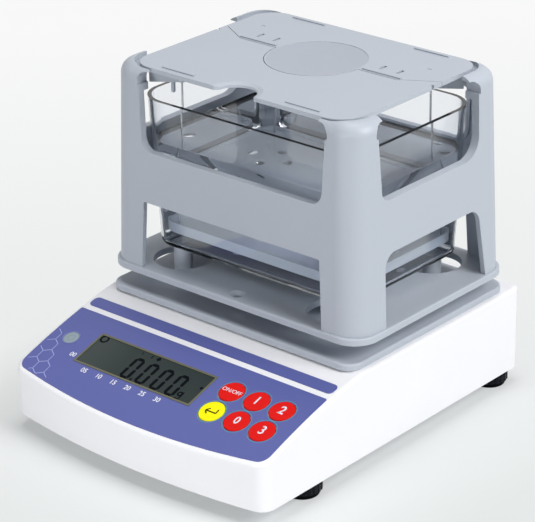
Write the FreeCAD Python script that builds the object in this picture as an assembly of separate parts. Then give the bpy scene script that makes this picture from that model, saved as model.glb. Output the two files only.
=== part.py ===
"""Benchtop density meter: a weighing housing with a sloping key panel, a fixed tray with four
posts that carry a clear water tank, and a weighing frame that stands over the tank on the load
cell and carries a two-piece top tray with a perforated dish hung in the water.

Millimetres. X to the user's right, Y away from the user, Z up. The origin lies on the bench
under the centre of the housing's footprint.
"""
import FreeCAD, Part
import math
import os

V = FreeCAD.Vector
os.makedirs("parts", exist_ok=True)

# ---------------------------------------------------------------- housing
BASE_W = 190.0            # overall width
BASE_D = 238.0            # overall depth, rear face to the middle of the bowed front
BASE_Z = 9.5              # underside of the housing, lifted by the feet
TOP_Z = 61.5              # flat top
FRONT_R = 520.0           # bow of the front face in plan
CORNER_R = 9.0            # front corners in plan
REAR_R = 5.0              # rear corners in plan
WALL = 2.5                # moulding thickness
EDGE_R = 2.2              # rounding along the top edge
BEND_R = 37.0             # bend between the flat top and the sloping panel
SLOPE_A0 = 11.0           # slope of the panel where the bend ends, degrees
SLOPE_R = 461.0           # long bow of the sloping panel
REAR = BASE_D / 2
FRONT = -BASE_D / 2
SIDE = BASE_W / 2
FLAT_END = FRONT + 95.0   # where the flat top starts to bend down

# ---------------------------------------------------------------- printed films
FILM = 0.35               # film thickness
PANEL_BACK = FRONT + 63.0   # rear edge of the main film
PANEL_INSET = 2.4         # its distance from the housing's outline
PANEL_R = 1.0             # its rear corners
STRIP_FRONT = PANEL_BACK + 4.0   # narrow film behind it
STRIP_D = 7.8
STRIP_R = 2.9
STRIP_HALF = SIDE - 3.5
STRIP_BACK = STRIP_FRONT + STRIP_D

# ---------------------------------------------------------------- display
LCD_LEFT = -SIDE + 31.85  # ends of the window
LCD_RIGHT = SIDE - 69.45
LCD_X = (LCD_LEFT + LCD_RIGHT) / 2
LCD_W = LCD_RIGHT - LCD_LEFT
LCD_Y = FRONT + 38.0
LCD_D = 26.0
LENS_T = 1.4              # depth of the window below the panel
MODULE_T = 1.8            # glass of the display module
BEZEL = 1.2               # visible border
FIT = 0.2                 # gap round pieces set into the moulding

# ---------------------------------------------------------------- keys
KEY_R = 7.5
KEY_PITCH = 18.0          # from column to column
KEY_LAST = SIDE - 18.5    # right-hand column
KEY_NEAR = FRONT + 28.0   # front row
KEY_DEEP = FRONT + 44.5   # rear row
KEY_COLS = (KEY_LAST - 2 * KEY_PITCH, KEY_LAST - KEY_PITCH, KEY_LAST)
KEY_ROWS = (KEY_DEEP, KEY_NEAR)
KEY_SINK = 0.55           # underside of the key's head below the panel
KEY_PROUD = 0.75          # top of the key above the moulding
KEY_TRAVEL = 0.3
KEY_STEM_R = 2.5
KEY_FIT = 0.06            # running clearance of the stem
KEY_GAP = 0.35            # gap round the key's head
STEM_END = 6.6            # depth of the stem's lower end
BOARD_Y = LCD_Y           # the key board lies parallel to the display
BOARD_DROP = 8.2          # depth of its upper face
BOARD_T = 1.6             # thickness of both boards
BOARD_HALF = 19.0
SWITCH_W = 6.0
SWITCH_R = 1.75           # its plunger
SWITCH_H = 0.4

# ---------------------------------------------------------------- level vial
VIAL_X = -SIDE + 16.5
VIAL_Y = FRONT + 39.7
VIAL_R = 5.5
VIAL_BORE = 4.7
VIAL_DEPTH = 7.0
VIAL_LENS = 1.6
VIAL_FLOOR = 1.0

# ---------------------------------------------------------------- frame and fixed tray
CY = REAR - 81.0          # centre of the weighing frame and of the tank
PLATE_A = SIDE            # base plate of the weighing frame, half width
PLATE_B = PLATE_A - 25.0  # half depth
PLATE_R = 16.0
PLATE_Z = TOP_Z + 14.0
PLATE_T = 4.0
PLATE_LIP = 1.5           # its edge outside the walls
PLATE_HOLE_R = 17.5       # clearance holes round the posts
CSK_Y = PLATE_B - 8.0     # countersunk holes, fore and aft
CSK_R = 2.6
CSK_HEAD_R = 4.8
TRAY_A = PLATE_A - 3.5    # fixed tray on the housing
TRAY_B = PLATE_B + 2.0
TRAY_R = 9.5
TRAY_T = 3.8
HUB_HOLE_R = 18.0         # hole that the frame's hub passes through
WALL_A = PLATE_A - PLATE_LIP   # outside of the walls where they meet the plate
WALL_B = PLATE_B - PLATE_LIP
WALL_TOP = 201.0
WALL_LEAN = 3.2           # taper of the walls over their height
WALL_T = 3.0
DOME_R = 8.0              # rounding of the pillar tops
SHELF_DROP = 3.0          # ledge that the top tray rests on, below the pillar tops
SHELF_Z = WALL_TOP - SHELF_DROP
SHELF_H = 12.0            # its depth
RIM_X = 7.2               # rim of the pillars round the tray, at the sides
RIM_Y = 3.5               # and at the front and rear
LOW_H = 41.0              # height of the lower windows
BAND_H = 31.0             # solid band between the lower and upper windows
WIN_X = WALL_A - 27.5     # half width of the front and rear windows at the sill
WIN_LEAN = 2.0            # how much wider they are at the top
WIN_R = 8.0               # their lower corners
LOW_X = WIN_X - 0.7       # half width of the lower windows at their top edge
LOW_SPREAD = 2.2          # how much wider they are at the plate
LOW_FRONT_R = 1.0         # their upper corners
SIDE_FRONT = 23.0 - WALL_B   # side windows, front jamb at the sill
SIDE_REAR = WALL_B - 27.0    # side windows, rear jamb
SIDE_LEAN = 2.5           # lean of the front jamb
SIDE_R0 = 6.0             # their front and rear lower corners
SIDE_R1 = 13.0
SIDE_RISE = 2.0           # side sills above the front sill
LOW_FRONT = 24.3 - WALL_B    # lower side windows, front jamb
LOW_REAR = WALL_B - 21.0     # rear jamb where it meets the plate
LOW_LEAN = 7.0            # lean of the rear jamb
LOW_R = 9.0               # their upper corners
LIP_T = 2.5               # return flange round the upper windows
LIP_X = 5.1               # its depth on the sides
LIP_Y = 4.4               # its depth at the front and rear
STEP_Z = WALL_TOP - 10.8  # where the flange ends and the opening steps out
STEP = 1.6
ARCH_R = 6.5              # arch that starts over the opening at each pillar top
ARCH_Z = SHELF_Z + 0.4
ARCH_TAIL = 1.1           # straight run before the arch is cut off
PLATE_TOP = PLATE_Z + PLATE_T
LOW_TOP = PLATE_TOP + LOW_H
SILL = LOW_TOP + BAND_H

# ---------------------------------------------------------------- tank
RIB_DROP = 10.5           # height of the tray's corner ribs
RIB_Z = SHELF_Z - RIB_DROP
TANK_RIM_Z = RIB_Z - 8.0
TANK_Z = PLATE_TOP + 7.5
TANK_DRAFT = 6.3          # how far the foot is drawn in from the rim
TANK_A = WALL_A - 13.3    # at the rim
TANK_B = WALL_B - 10.7
TANK_A0 = TANK_A - TANK_DRAFT   # at the foot
TANK_B0 = TANK_B - TANK_DRAFT + 0.1
TANK_R = 20.0             # corners at the rim and at the foot
TANK_R0 = 12.0
TANK_EDGE = 5.0           # rounding of the foot's lower edge
TANK_T = 2.5
TANK_FLOOR = 3.0
TANK_ROOM = 1.2           # room between the tank's rim and the ledge
POST_X = TANK_A0 - 15.7
POST_Y = TANK_B0 - 8.4
POST_R = 5.5
POST_FOOT_R = 9.0
POST_FOOT_H = 2.0

# ---------------------------------------------------------------- top tray and hanging dish
PAN_A = WALL_A - 14.3
PAN_B = WALL_B - 7.6
PAN_R = 15.0
PAN_T = 2.5
NOTCH_R = 12.5            # finger notch in the front edge
NOTCH_IN = 0.9            # its centre, inside the edge
NOTCH_EDGE = 4.0          # rounding where it meets the edge
NOTCH_SLOPE = 3.0         # sloping margin round it
NOTCH_SINK = 1.0
SEAM_Y = 9.7              # joint between the front and rear plates
SEAM_GAP = 0.5
SEAM_STEP = 12.8          # how far it slants back at the sides
SEAM_SLANT = 22.0
DISC_R = 30.0             # round middle of the rear plate
DISC_Y = SEAM_Y + 0.3
DISH_R = DISC_R - 0.7     # hollow in it
DISH_STEP = 0.25          # upright edge of the hollow
DISH_DEPTH = 1.3
DISH_BOWL = 0.2           # what the hollow's sphere would add, were its floor not flat
WIRE_R = 0.6
WIRE_X = POST_X
WIRE_Y = POST_Y - 3.2
CLIP_X = WIRE_X - 12.9
RIDGE_HALF = 12.0         # ridges on the tray
RIDGE_LONG = 13.5         # half length of those behind the joint
RIDGE_FRONT = 4.9         # distance from the front edge
RIDGE_REAR = 3.4          # distance from the rear edge
RIDGE_SEAM = 2.1          # distance from the joint
RIDGE_W = 1.6
RIDGE_H = 0.7
DIMPLE_X = PAN_A - 18.0
DIMPLE_Y = PAN_B - 27.1
DIMPLE_R = 1.6
DIMPLE_DEPTH = 0.3
NICK_Y = 14.0             # nick in each side edge
NICK_W = 2.0
NICK_DEPTH = 1.5
RIB_T = 3.0
RIB_IN = 6.0              # outer end of a rib, inside the side edge
RIB_END = 10.2            # and inside the front or rear edge
BOSS_R = 2.2              # boss that holds a wire
PEG_R = 1.25
PEG_H = 5.4
PEG_X = 4.0               # peg, outwards from the wire
PEG_Y = 3.0
CLIP_PITCH = 12.2         # slots for a clip's two tongues
SLOT_W = 2.1
SLOT_D = 6.0
SLOT_Y = 17.6
TONGUE_GAP = 0.2          # round a tongue in its slot
TONGUE_D = 2.2
TONGUE_H = 1.0
CLIP_T = 1.5
SINK_Z = TANK_Z + 10.0    # underside of the hanging dish
SINK_A = TANK_A0 - 5.0
SINK_EDGE = 6.0           # wires inside the dish's front and rear edge
SINK_R = 12.0
SINK_T = 2.0
SINK_RIM = 6.0
SINK_HOLE_R = 3.5
SINK_X = SINK_A / 2       # middle of each group of four holes
SINK_Y = 9.4
SINK_HOLE_X = 13.0        # reach of a group
SINK_HOLE_Y = 10.4

# ---------------------------------------------------------------- feet
FOOT_X = SIDE - 12.0
FOOT_FRONT = FRONT + 53.0
FOOT_REAR = REAR - 13.0
PAD_R = 9.6
PAD_H = 3.0
WHEEL_R = 11.2
WHEEL_H = 4.5
STUD_R = 3.0
STUD_FIT = 0.05
STUD_TOP = BASE_Z + 14.5
NUT_R = 4.5
NUT_H = 5.5

# ---------------------------------------------------------------- load cell
CELL_W = 22.0
CELL_Z = BASE_Z + 16.5
CELL_H = 24.0
CELL_L = 74.0
CELL_FREE = 12.0          # free end, past the hub's axis
CELL_FIXED = CELL_FREE - CELL_L
CELL_BORE_R = 8.5         # the two bores that make it bend like a parallelogram
CELL_BORES = (27.0, 46.0)   # their distance from the fixed end
CELL_SLOT = 3.0
MOUNT_L = 18.0
MOUNT_MARGIN = 8.0
MOUNT_T = 5.0
STOP_R = 3.0
STOP_GAP = 0.4            # travel of the cell before the stop holds it
SEAT = 0.3                # gap that the hub closes under load
HUB_R = 30.0
HUB_T = 3.0
HUB_NECK_R = 15.0
HUB_FOOT_R = 10.0
HUB_FOOT_H = 6.0

# ---------------------------------------------------------------- main board
MAIN_X = -20.0            # its left edge
MAIN_W = FOOT_X - STUD_R - 5.0 - MAIN_X
MAIN_FRONT = CY - 88.0
MAIN_D = 60.0
MAIN_Z = BASE_Z + 10.5
MAIN_LEG_R = 3.0
MAIN_LEG_IN = 5.0


# ================================================================ helpers
def save(shape, name):
    shape.exportStep("parts/" + name + ".step")


def box(x0, x1, y0, y1, z0, z1):
    return Part.makeBox(x1 - x0, y1 - y0, z1 - z0, V(x0, y0, z0))


def rod(x, y, z0, z1, r):
    return Part.makeCylinder(r, z1 - z0, V(x, y, z0), V(0, 0, 1))


def arc(c, r, d0, d1, z):
    """Arc in a level plane between two directions in degrees."""
    pts = []
    for d in (d0, (d0 + d1) / 2, d1):
        t = math.radians(d)
        pts.append(V(c[0] + r * math.cos(t), c[1] + r * math.sin(t), z))
    return Part.Arc(*pts).toShape()


def chain(edges):
    """Join arcs with straight lines into one closed wire."""
    out = []
    for i, e in enumerate(edges):
        out.append(e)
        a = e.valueAt(e.LastParameter)
        n = edges[(i + 1) % len(edges)]
        b = n.valueAt(n.FirstParameter)
        if a.distanceToPoint(b) > 1e-6:
            out.append(Part.LineSegment(a, b).toShape())
    return Part.Wire(Part.__sortEdges__(out))


def rrect(a, b, r, z, cy=CY):
    """Rounded rectangle of half sides a and b."""
    return chain([
        arc((a - r, cy + b - r), r, 0, 90, z),
        arc((-a + r, cy + b - r), r, 90, 180, z),
        arc((-a + r, cy - b + r), r, 180, 270, z),
        arc((a - r, cy - b + r), r, 270, 360, z)])


def prism(wire, height):
    return Part.Face(wire).extrude(V(0, 0, height))


def slab(a, b, r, z0, z1, cy=CY):
    return prism(rrect(a, b, r, z0, cy), z1 - z0)


def loft(a0, b0, r0, z0, a1, b1, r1, z1):
    return Part.makeLoft([rrect(a0, b0, r0, z0), rrect(a1, b1, r1, z1)], True, True)


def group(shapes):
    return Part.makeCompound(shapes)


def rounded(points, place):
    """Face through (u, v, radius) corners; place turns a flat u, v into a point in space."""
    stops = []
    for i, (u, v, r) in enumerate(points):
        here = V(u, v, 0)
        last = points[i - 1]
        ahead = points[(i + 1) % len(points)]
        back = (V(last[0], last[1], 0) - here).normalize()
        on = (V(ahead[0], ahead[1], 0) - here).normalize()
        half = back.getAngle(on) / 2
        reach = r / math.tan(half)
        bulge = (back + on).normalize() * (r / math.sin(half) - r)
        stops.append((here + back * reach, here + bulge, here + on * reach))
    edges = []
    for i, (a, m, b) in enumerate(stops):
        if a.distanceToPoint(b) > 1e-6:
            edges.append(Part.Arc(place(a), place(m), place(b)).toShape())
        c = stops[(i + 1) % len(stops)][0]
        edges.append(Part.LineSegment(place(b), place(c)).toShape())
    return Part.Face(Part.Wire(edges))


def from_front(points, far):
    """Bar along Y, its section given from the front by x and z."""
    face = rounded(points, lambda p: V(p.x, CY - far, p.y))
    return face.extrude(V(0, 2 * far, 0))


def from_side(points, far):
    """Bar along X, its section given from the side by y (from the frame's centre) and z."""
    face = rounded(points, lambda p: V(-far, CY + p.x, p.y))
    return face.extrude(V(2 * far, 0, 0))


def from_above(points, z0, z1):
    """Upright bar, its section given in plan by x and y (from the frame's centre)."""
    face = rounded(points, lambda p: V(p.x, CY + p.y, z0))
    return face.extrude(V(0, 0, z1 - z0))


# ================================================================ panel surface
SLOPE_START = FLAT_END - BEND_R * math.sin(math.radians(SLOPE_A0))
SLOPE_TOP = TOP_Z - BEND_R * (1 - math.cos(math.radians(SLOPE_A0)))
SLOPE_CY = SLOPE_START + SLOPE_R * math.sin(math.radians(SLOPE_A0))
SLOPE_CZ = SLOPE_TOP - SLOPE_R * math.cos(math.radians(SLOPE_A0))


def slope_angle(y):
    return math.asin((SLOPE_CY - y) / SLOPE_R)


def slope_z(y):
    return SLOPE_CZ + SLOPE_R * math.cos(slope_angle(y))


def slope_point(y, lift):
    """Point above the panel surface, reached along its normal from the foot at y."""
    t = slope_angle(y)
    return (SLOPE_CY - (SLOPE_R + lift) * math.sin(t), SLOPE_CZ + (SLOPE_R + lift) * math.cos(t))


def on_slope(shape, x, y):
    """Stand a shape on the panel: its Z follows the normal, its Y points up the slope."""
    s = shape.copy()
    turn = FreeCAD.Rotation(V(1, 0, 0), math.degrees(slope_angle(y)))
    s.Placement = FreeCAD.Placement(V(x, y, slope_z(y)), turn).multiply(s.Placement)
    return s


def arc_yz(points, x):
    return Part.Arc(*[V(x, p[0], p[1]) for p in points]).toShape()


def line_yz(p, q, x):
    return Part.LineSegment(V(x, p[0], p[1]), V(x, q[0], q[1])).toShape()


def outline(t, z):
    """Plan outline of the housing, drawn in by t."""
    hw = SIDE - t
    rr = REAR_R - t
    rc = CORNER_R - t
    rf = FRONT_R - t
    cy = FRONT + FRONT_R
    ccx = hw - rc
    ccy = cy - math.sqrt((rf - rc) ** 2 - ccx ** 2)
    lean = math.degrees(math.atan2(ccx, cy - ccy))
    return chain([
        arc((hw - rr, REAR - t - rr), rr, 0, 90, z),
        arc((-hw + rr, REAR - t - rr), rr, 90, 180, z),
        arc((-ccx, ccy), rc, 180, 270 - lean, z),
        arc((0, cy), rf, 270 - lean, 270 + lean, z),
        arc((ccx, ccy), rc, 270 + lean, 360, z)])


def housing_block(t, z0):
    """Housing volume drawn in by t on every face, standing on z0."""
    x0 = -SIDE - 5
    back = REAR + 5
    fore = FRONT - 5
    top = TOP_Z - t
    bend = []
    for d in (0.0, SLOPE_A0 / 2, SLOPE_A0):
        a = math.radians(d)
        bend.append((FLAT_END - (BEND_R - t) * math.sin(a), TOP_Z - BEND_R + (BEND_R - t) * math.cos(a)))
    mid = (SLOPE_START + fore) / 2
    run = [bend[2], slope_point(mid, -t), slope_point(fore, -t)]
    edges = [
        line_yz((back, z0), (back, top), x0),
        line_yz((back, top), bend[0], x0),
        arc_yz(bend, x0),
        arc_yz(run, x0),
        line_yz(run[2], (run[2][0], z0), x0),
        line_yz((run[2][0], z0), (back, z0), x0)]
    side = Part.Face(Part.Wire(edges)).extrude(V(-2 * x0, 0, 0))
    plan = prism(outline(t, z0), TOP_Z - z0 + 1)
    return side.common(plan)


def on_rim(e):
    """True for the edges that run round the top of the housing."""
    bb = e.BoundBox
    if bb.ZMin < BASE_Z + 5 or (bb.XLength < 0.01 and bb.YLength < 0.01):
        return False
    p = e.valueAt((e.FirstParameter + e.LastParameter) / 2)
    if abs(abs(p.x) - SIDE) < 0.02 or abs(p.y - REAR) < 0.02:
        return True
    if abs(math.hypot(p.x, p.y - FRONT - FRONT_R) - FRONT_R) < 0.02:
        return True
    return bb.XLength < 12 and bb.YLength < 12


# ================================================================ housing pieces
COLUMN_R = 3.6
COLUMNS = [(s * x, y) for x, y in ((SIDE - 35, REAR - 11), (SIDE - 8, CY - 18), (SIDE - 31, FRONT + 18))
           for s in (1, -1)]
BOARD_BOSSES = [(x, s * (BOARD_HALF - 3.5)) for x in (-SIDE + 25, SIDE - 10) for s in (1, -1)]
FEET = {"fl": (-FOOT_X, FOOT_FRONT), "fr": (FOOT_X, FOOT_FRONT),
        "rl": (-FOOT_X, FOOT_REAR), "rr": (FOOT_X, FOOT_REAR)}
JACK_X = SIDE - 60.0
JACK_Z = BASE_Z + 20.5
JACK_W = 9.0
JACK_H = 11.0
JACK_L = 14.0
JACK_BORE_R = 3.2
JACK_PIN_R = 1.0


def keys():
    return [(x, y) for y in KEY_ROWS for x in KEY_COLS]


def lcd_hole(grow, low, high):
    w = LCD_W / 2 + grow
    d = LCD_D / 2 + grow
    return on_slope(box(-w, w, -d, d, low, high), LCD_X, LCD_Y)


def upper_housing():
    body = housing_block(0.0, BASE_Z)
    body = body.makeFillet(EDGE_R, [e for e in body.Edges if on_rim(e)])
    shell = body.cut(housing_block(WALL, BASE_Z))
    roof = housing_block(WALL / 2, BASE_Z)
    posts = []
    for x, y in COLUMNS:
        posts.append(rod(x, y, BASE_Z + WALL, TOP_Z, COLUMN_R).common(roof))
    for x, dy in BOARD_BOSSES:
        posts.append(on_slope(rod(0, dy, -BOARD_DROP, -WALL / 2, 2.6), x, BOARD_Y))
    shell = shell.fuse(posts)
    cuts = [rod(x, y, BASE_Z, TOP_Z - 30, 1.5) for x, y in COLUMNS]
    cuts.append(rod(0, CY, TOP_Z - 10, TOP_Z + 5, HUB_HOLE_R))
    cuts.append(lcd_hole(FIT, -6, 4))
    cuts.append(on_slope(rod(0, 0, -6, 4, VIAL_R + 0.1), VIAL_X, VIAL_Y))
    for x, y in keys():
        cuts.append(on_slope(rod(0, 0, -1.0, 4, KEY_R + KEY_GAP), x, y))
        cuts.append(on_slope(rod(0, 0, -6, 4, KEY_STEM_R + KEY_FIT), x, y))
    jw = JACK_W / 2 + FIT
    jh = JACK_H / 2 + FIT
    cuts.append(box(JACK_X - jw, JACK_X + jw, REAR - 6, REAR + 5, JACK_Z - jh, JACK_Z + jh))
    return shell.cut(cuts)


def bottom_cover():
    plate = prism(outline(WALL + FIT, BASE_Z), WALL)
    bosses = [rod(x, y, BASE_Z, BASE_Z + WALL + 6, NUT_R + WALL) for x, y in FEET.values()]
    plate = plate.fuse(bosses)
    cuts = []
    for x, y in FEET.values():
        cuts.append(rod(x, y, BASE_Z - 1, BASE_Z + 10, STUD_R + 0.4))
        cuts.append(rod(x, y, BASE_Z + 3, BASE_Z + 10, NUT_R))
    for x, y in COLUMNS:
        cuts.append(rod(x, y, BASE_Z - 1, BASE_Z + 5, 1.7))
        cuts.append(rod(x, y, BASE_Z - 1, BASE_Z + 1.7, 3.2))
    return plate.cut(cuts)


def housing_screws():
    out = []
    for x, y in COLUMNS:
        head = rod(x, y, BASE_Z + 0.2, BASE_Z + 1.7, 3.0)
        head = head.cut(rod(x, y, BASE_Z, BASE_Z + 0.9, 1.2))
        out.append(head.fuse(rod(x, y, BASE_Z + 1.7, BASE_Z + 14, 1.45)))
    return group(out)


def foot_nuts():
    out = []
    for x, y in FEET.values():
        nut = rod(x, y, BASE_Z + 3, BASE_Z + 3 + NUT_H, NUT_R)
        out.append(nut.cut(rod(x, y, BASE_Z, BASE_Z + 4 + NUT_H, STUD_R + STUD_FIT)))
    return group(out)


def film(lo, hi, plan):
    """Thin sheet lying on the panel between two y positions, trimmed to a plan shape."""
    x0 = -SIDE
    mid = (lo + hi) / 2
    low = [slope_point(y, 0.0) for y in (lo, mid, hi)]
    top = [slope_point(y, FILM) for y in (lo, mid, hi)]
    edges = [
        arc_yz(low, x0),
        line_yz(low[2], top[2], x0),
        arc_yz(top[::-1], x0),
        line_yz(top[0], low[0], x0)]
    return Part.Face(Part.Wire(edges)).extrude(V(BASE_W, 0, 0)).common(plan)


def panel_film():
    high = 2 * TOP_Z
    plan = prism(outline(PANEL_INSET, 0), high)
    plan = plan.common(box(-SIDE, SIDE, FRONT - 1, PANEL_BACK, 0, high))
    corners = []
    for e in plan.Edges:
        bb = e.BoundBox
        if bb.ZLength > TOP_Z and bb.XLength < 0.1 and abs(bb.YMin - PANEL_BACK) < 0.1:
            corners.append(e)
    plan = plan.makeFillet(PANEL_R, corners)
    sheet = film(PANEL_BACK + 5, FRONT - 4, plan)
    cuts = [lcd_hole(0.0, -3, 4), on_slope(rod(0, 0, -3, 4, VIAL_R + 0.1), VIAL_X, VIAL_Y)]
    for x, y in keys():
        cuts.append(on_slope(rod(0, 0, -3, 4, KEY_R + KEY_GAP), x, y))
    return sheet.cut(cuts)


def strip_film():
    plan = slab(STRIP_HALF, STRIP_D / 2, STRIP_R, 0, 2 * TOP_Z, STRIP_FRONT + STRIP_D / 2)
    return film(STRIP_BACK + 5, STRIP_FRONT - 5, plan)


def lcd_bezel():
    w = LCD_W / 2
    d = LCD_D / 2
    ring = box(-w, w, -d, d, 0.15, FILM + 0.15).cut(box(-w + BEZEL, w - BEZEL, -d + BEZEL, d - BEZEL, -1, 2))
    return on_slope(ring, LCD_X, LCD_Y)


def lcd_window():
    return lcd_hole(0.0, -LENS_T, 0.15)


def lcd_module():
    w = LCD_W / 2 - 2
    d = LCD_D / 2 - 1.5
    low = -LENS_T - MODULE_T
    glass = box(-w, w, -d, d, low, -LENS_T)
    back = box(-w - 1, w + 1, -d - 1, d + 1, -BOARD_DROP, low)
    return on_slope(glass.fuse(back), LCD_X, LCD_Y)


def key_board():
    plate = box(-SIDE + 19, SIDE - 7, -BOARD_HALF, BOARD_HALF, -BOARD_DROP - BOARD_T, -BOARD_DROP)
    return on_slope(plate, 0, BOARD_Y)


def tact_switches():
    """Six switches between the key board and the key stems."""
    out = []
    for x, y in keys():
        reach = (y - BOARD_Y) / math.cos(slope_angle(BOARD_Y))
        top = -STEM_END - 0.35 - (reach ** 2) / (2 * SLOPE_R) - 0.12
        w = SWITCH_W / 2
        body = box(-w, w, -w, w, -BOARD_DROP, top - SWITCH_H)
        body = body.fuse(rod(0, 0, -BOARD_DROP, top, SWITCH_R))
        s = body.copy()
        s.translate(V(0, reach, 0))
        out.append(on_slope(s, x, BOARD_Y))
    return group(out)


def key_cap(x, y):
    head = rod(0, 0, -KEY_SINK, KEY_PROUD, KEY_R)
    head = head.makeFillet(0.45, [e for e in head.Edges if e.BoundBox.ZMin > KEY_PROUD - 0.01])
    stem = rod(0, 0, -STEM_END, -KEY_SINK, KEY_STEM_R)
    return on_slope(head.fuse(stem).removeSplitter(), x, y)


def vial_cup():
    bore = rod(0, 0, -VIAL_DEPTH + VIAL_FLOOR, 2, VIAL_BORE)
    cup = rod(0, 0, -VIAL_DEPTH, FILM + 0.1, VIAL_R).cut(bore)
    return on_slope(cup, VIAL_X, VIAL_Y)


def vial_fluid():
    return on_slope(rod(0, 0, -VIAL_DEPTH + VIAL_FLOOR, -VIAL_LENS, VIAL_BORE), VIAL_X, VIAL_Y)


def vial_lens():
    return on_slope(rod(0, 0, -VIAL_LENS, FILM - 0.1, VIAL_BORE), VIAL_X, VIAL_Y)


def main_board():
    x0 = MAIN_X
    x1 = MAIN_X + MAIN_W
    y0 = MAIN_FRONT
    y1 = MAIN_FRONT + MAIN_D
    plate = box(x0, x1, y0, y1, MAIN_Z, MAIN_Z + BOARD_T)
    m = MAIN_LEG_IN
    legs = [rod(x, y, BASE_Z + WALL, MAIN_Z, MAIN_LEG_R) for x in (x0 + m, x1 - m) for y in (y0 + m, y1 - m)]
    return plate.fuse(legs)


def on_board(x, y, w, d, h):
    """Block standing on the main board, x and y from the board's front left corner."""
    z = MAIN_Z + BOARD_T
    return box(MAIN_X + x, MAIN_X + x + w, MAIN_FRONT + y, MAIN_FRONT + y + d, z, z + h)


def board_parts():
    """Processor, measuring chip, mains filter and three capacitors."""
    out = [on_board(20, 16, 16, 16, 2.6), on_board(50, 10, 12, 18, 2.4), on_board(70, 38, 12, 16, 11.4)]
    z = MAIN_Z + BOARD_T
    for i in range(3):
        out.append(rod(MAIN_X + 90, MAIN_FRONT + 14 + 12 * i, z, z + 10.4, 3.6))
    return group(out)


def dc_jack():
    w = JACK_W / 2
    h = JACK_H / 2
    body = box(JACK_X - w, JACK_X + w, REAR - JACK_L, REAR - FIT, JACK_Z - h, JACK_Z + h)
    foot = V(JACK_X, REAR - JACK_L + 4, JACK_Z)
    bore = Part.makeCylinder(JACK_BORE_R, JACK_L, foot, V(0, 1, 0))
    pin = Part.makeCylinder(JACK_PIN_R, JACK_L - 5.5, foot, V(0, 1, 0))
    return body.cut(bore).fuse(pin)


def load_cell():
    y0 = CY - CELL_W / 2
    beam = box(CELL_FIXED, CELL_FREE, y0, y0 + CELL_W, CELL_Z, CELL_Z + CELL_H)
    mid = CELL_Z + CELL_H / 2
    holes = []
    at = [CELL_FIXED + x for x in CELL_BORES]
    for x in at:
        holes.append(Part.makeCylinder(CELL_BORE_R, CELL_W + 2, V(x, y0 - 1, mid), V(0, 1, 0)))
    holes.append(box(at[0], at[1], y0 - 1, y0 + CELL_W + 1, mid - CELL_SLOT, mid + CELL_SLOT))
    return beam.cut(holes)


def cell_mount():
    y0 = CY - CELL_W / 2
    z0 = BASE_Z + WALL
    m = MOUNT_MARGIN
    block = box(CELL_FIXED, CELL_FIXED + MOUNT_L, y0, y0 + CELL_W, z0, CELL_Z)
    foot = box(CELL_FIXED - m, CELL_FREE + 20, y0 - m, y0 + CELL_W + m, z0, z0 + MOUNT_T)
    return block.fuse(foot)


def overload_stop():
    """Screw under the free end of the cell, with a working gap."""
    return rod(CELL_FREE - 2 * STOP_R, CY, BASE_Z + WALL + MOUNT_T, CELL_Z - STOP_GAP, STOP_R)


# ================================================================ fixed tray
def posts_at():
    return [(sx * POST_X, CY + sy * POST_Y) for sx in (-1, 1) for sy in (-1, 1)]


def fixed_tray():
    tray = slab(TRAY_A, TRAY_B, TRAY_R, TOP_Z, TOP_Z + TRAY_T)
    top = [e for e in tray.Edges if e.BoundBox.ZMin > TOP_Z + TRAY_T - 0.01]
    tray = tray.makeFillet(1.2, top)
    return tray.cut(rod(0, CY, TOP_Z - 1, TOP_Z + 10, HUB_HOLE_R))


def tank_posts():
    out = []
    for x, y in posts_at():
        z0 = TOP_Z + TRAY_T
        foot = rod(x, y, z0, z0 + POST_FOOT_H, POST_FOOT_R)
        out.append(foot.fuse(rod(x, y, z0, TANK_Z, POST_R)).removeSplitter())
    return group(out)


# ================================================================ weighing frame
def frame_plate():
    plate = slab(PLATE_A, PLATE_B, PLATE_R, PLATE_Z, PLATE_Z + PLATE_T)
    top = [e for e in plate.Edges if e.BoundBox.ZMin > PLATE_Z + PLATE_T - 0.01]
    plate = plate.makeFillet(1.0, top)
    cuts = [rod(x, y, PLATE_Z - 1, PLATE_TOP + 1, PLATE_HOLE_R) for x, y in posts_at()]
    for s in (-1, 1):
        y = CY + s * CSK_Y
        deep = CSK_HEAD_R - CSK_R
        cuts.append(rod(0, y, PLATE_Z - 1, PLATE_TOP + 1, CSK_R))
        cuts.append(Part.makeCone(CSK_R, CSK_HEAD_R, deep, V(0, y, PLATE_TOP - deep), V(0, 0, 1)))
    return plate.cut(cuts)


def mirrored(half):
    """Corners of the right half, bottom to top, and their mirror image back down."""
    return half + [(-u, v, r) for u, v, r in reversed(half)]


def upper_front():
    """Upper opening seen from the front, its top corners arched in over it and open in the middle."""
    top = WIN_X + WIN_LEAN + STEP
    cut = top - ARCH_R - ARCH_TAIL
    return mirrored([
        (WIN_X, SILL, WIN_R),
        (WIN_X + WIN_LEAN, STEP_Z, 0),
        (top, STEP_Z, 0),
        (top, ARCH_Z, ARCH_R),
        (cut, ARCH_Z, 0),
        (cut, WALL_TOP + 10, 0)])


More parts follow.
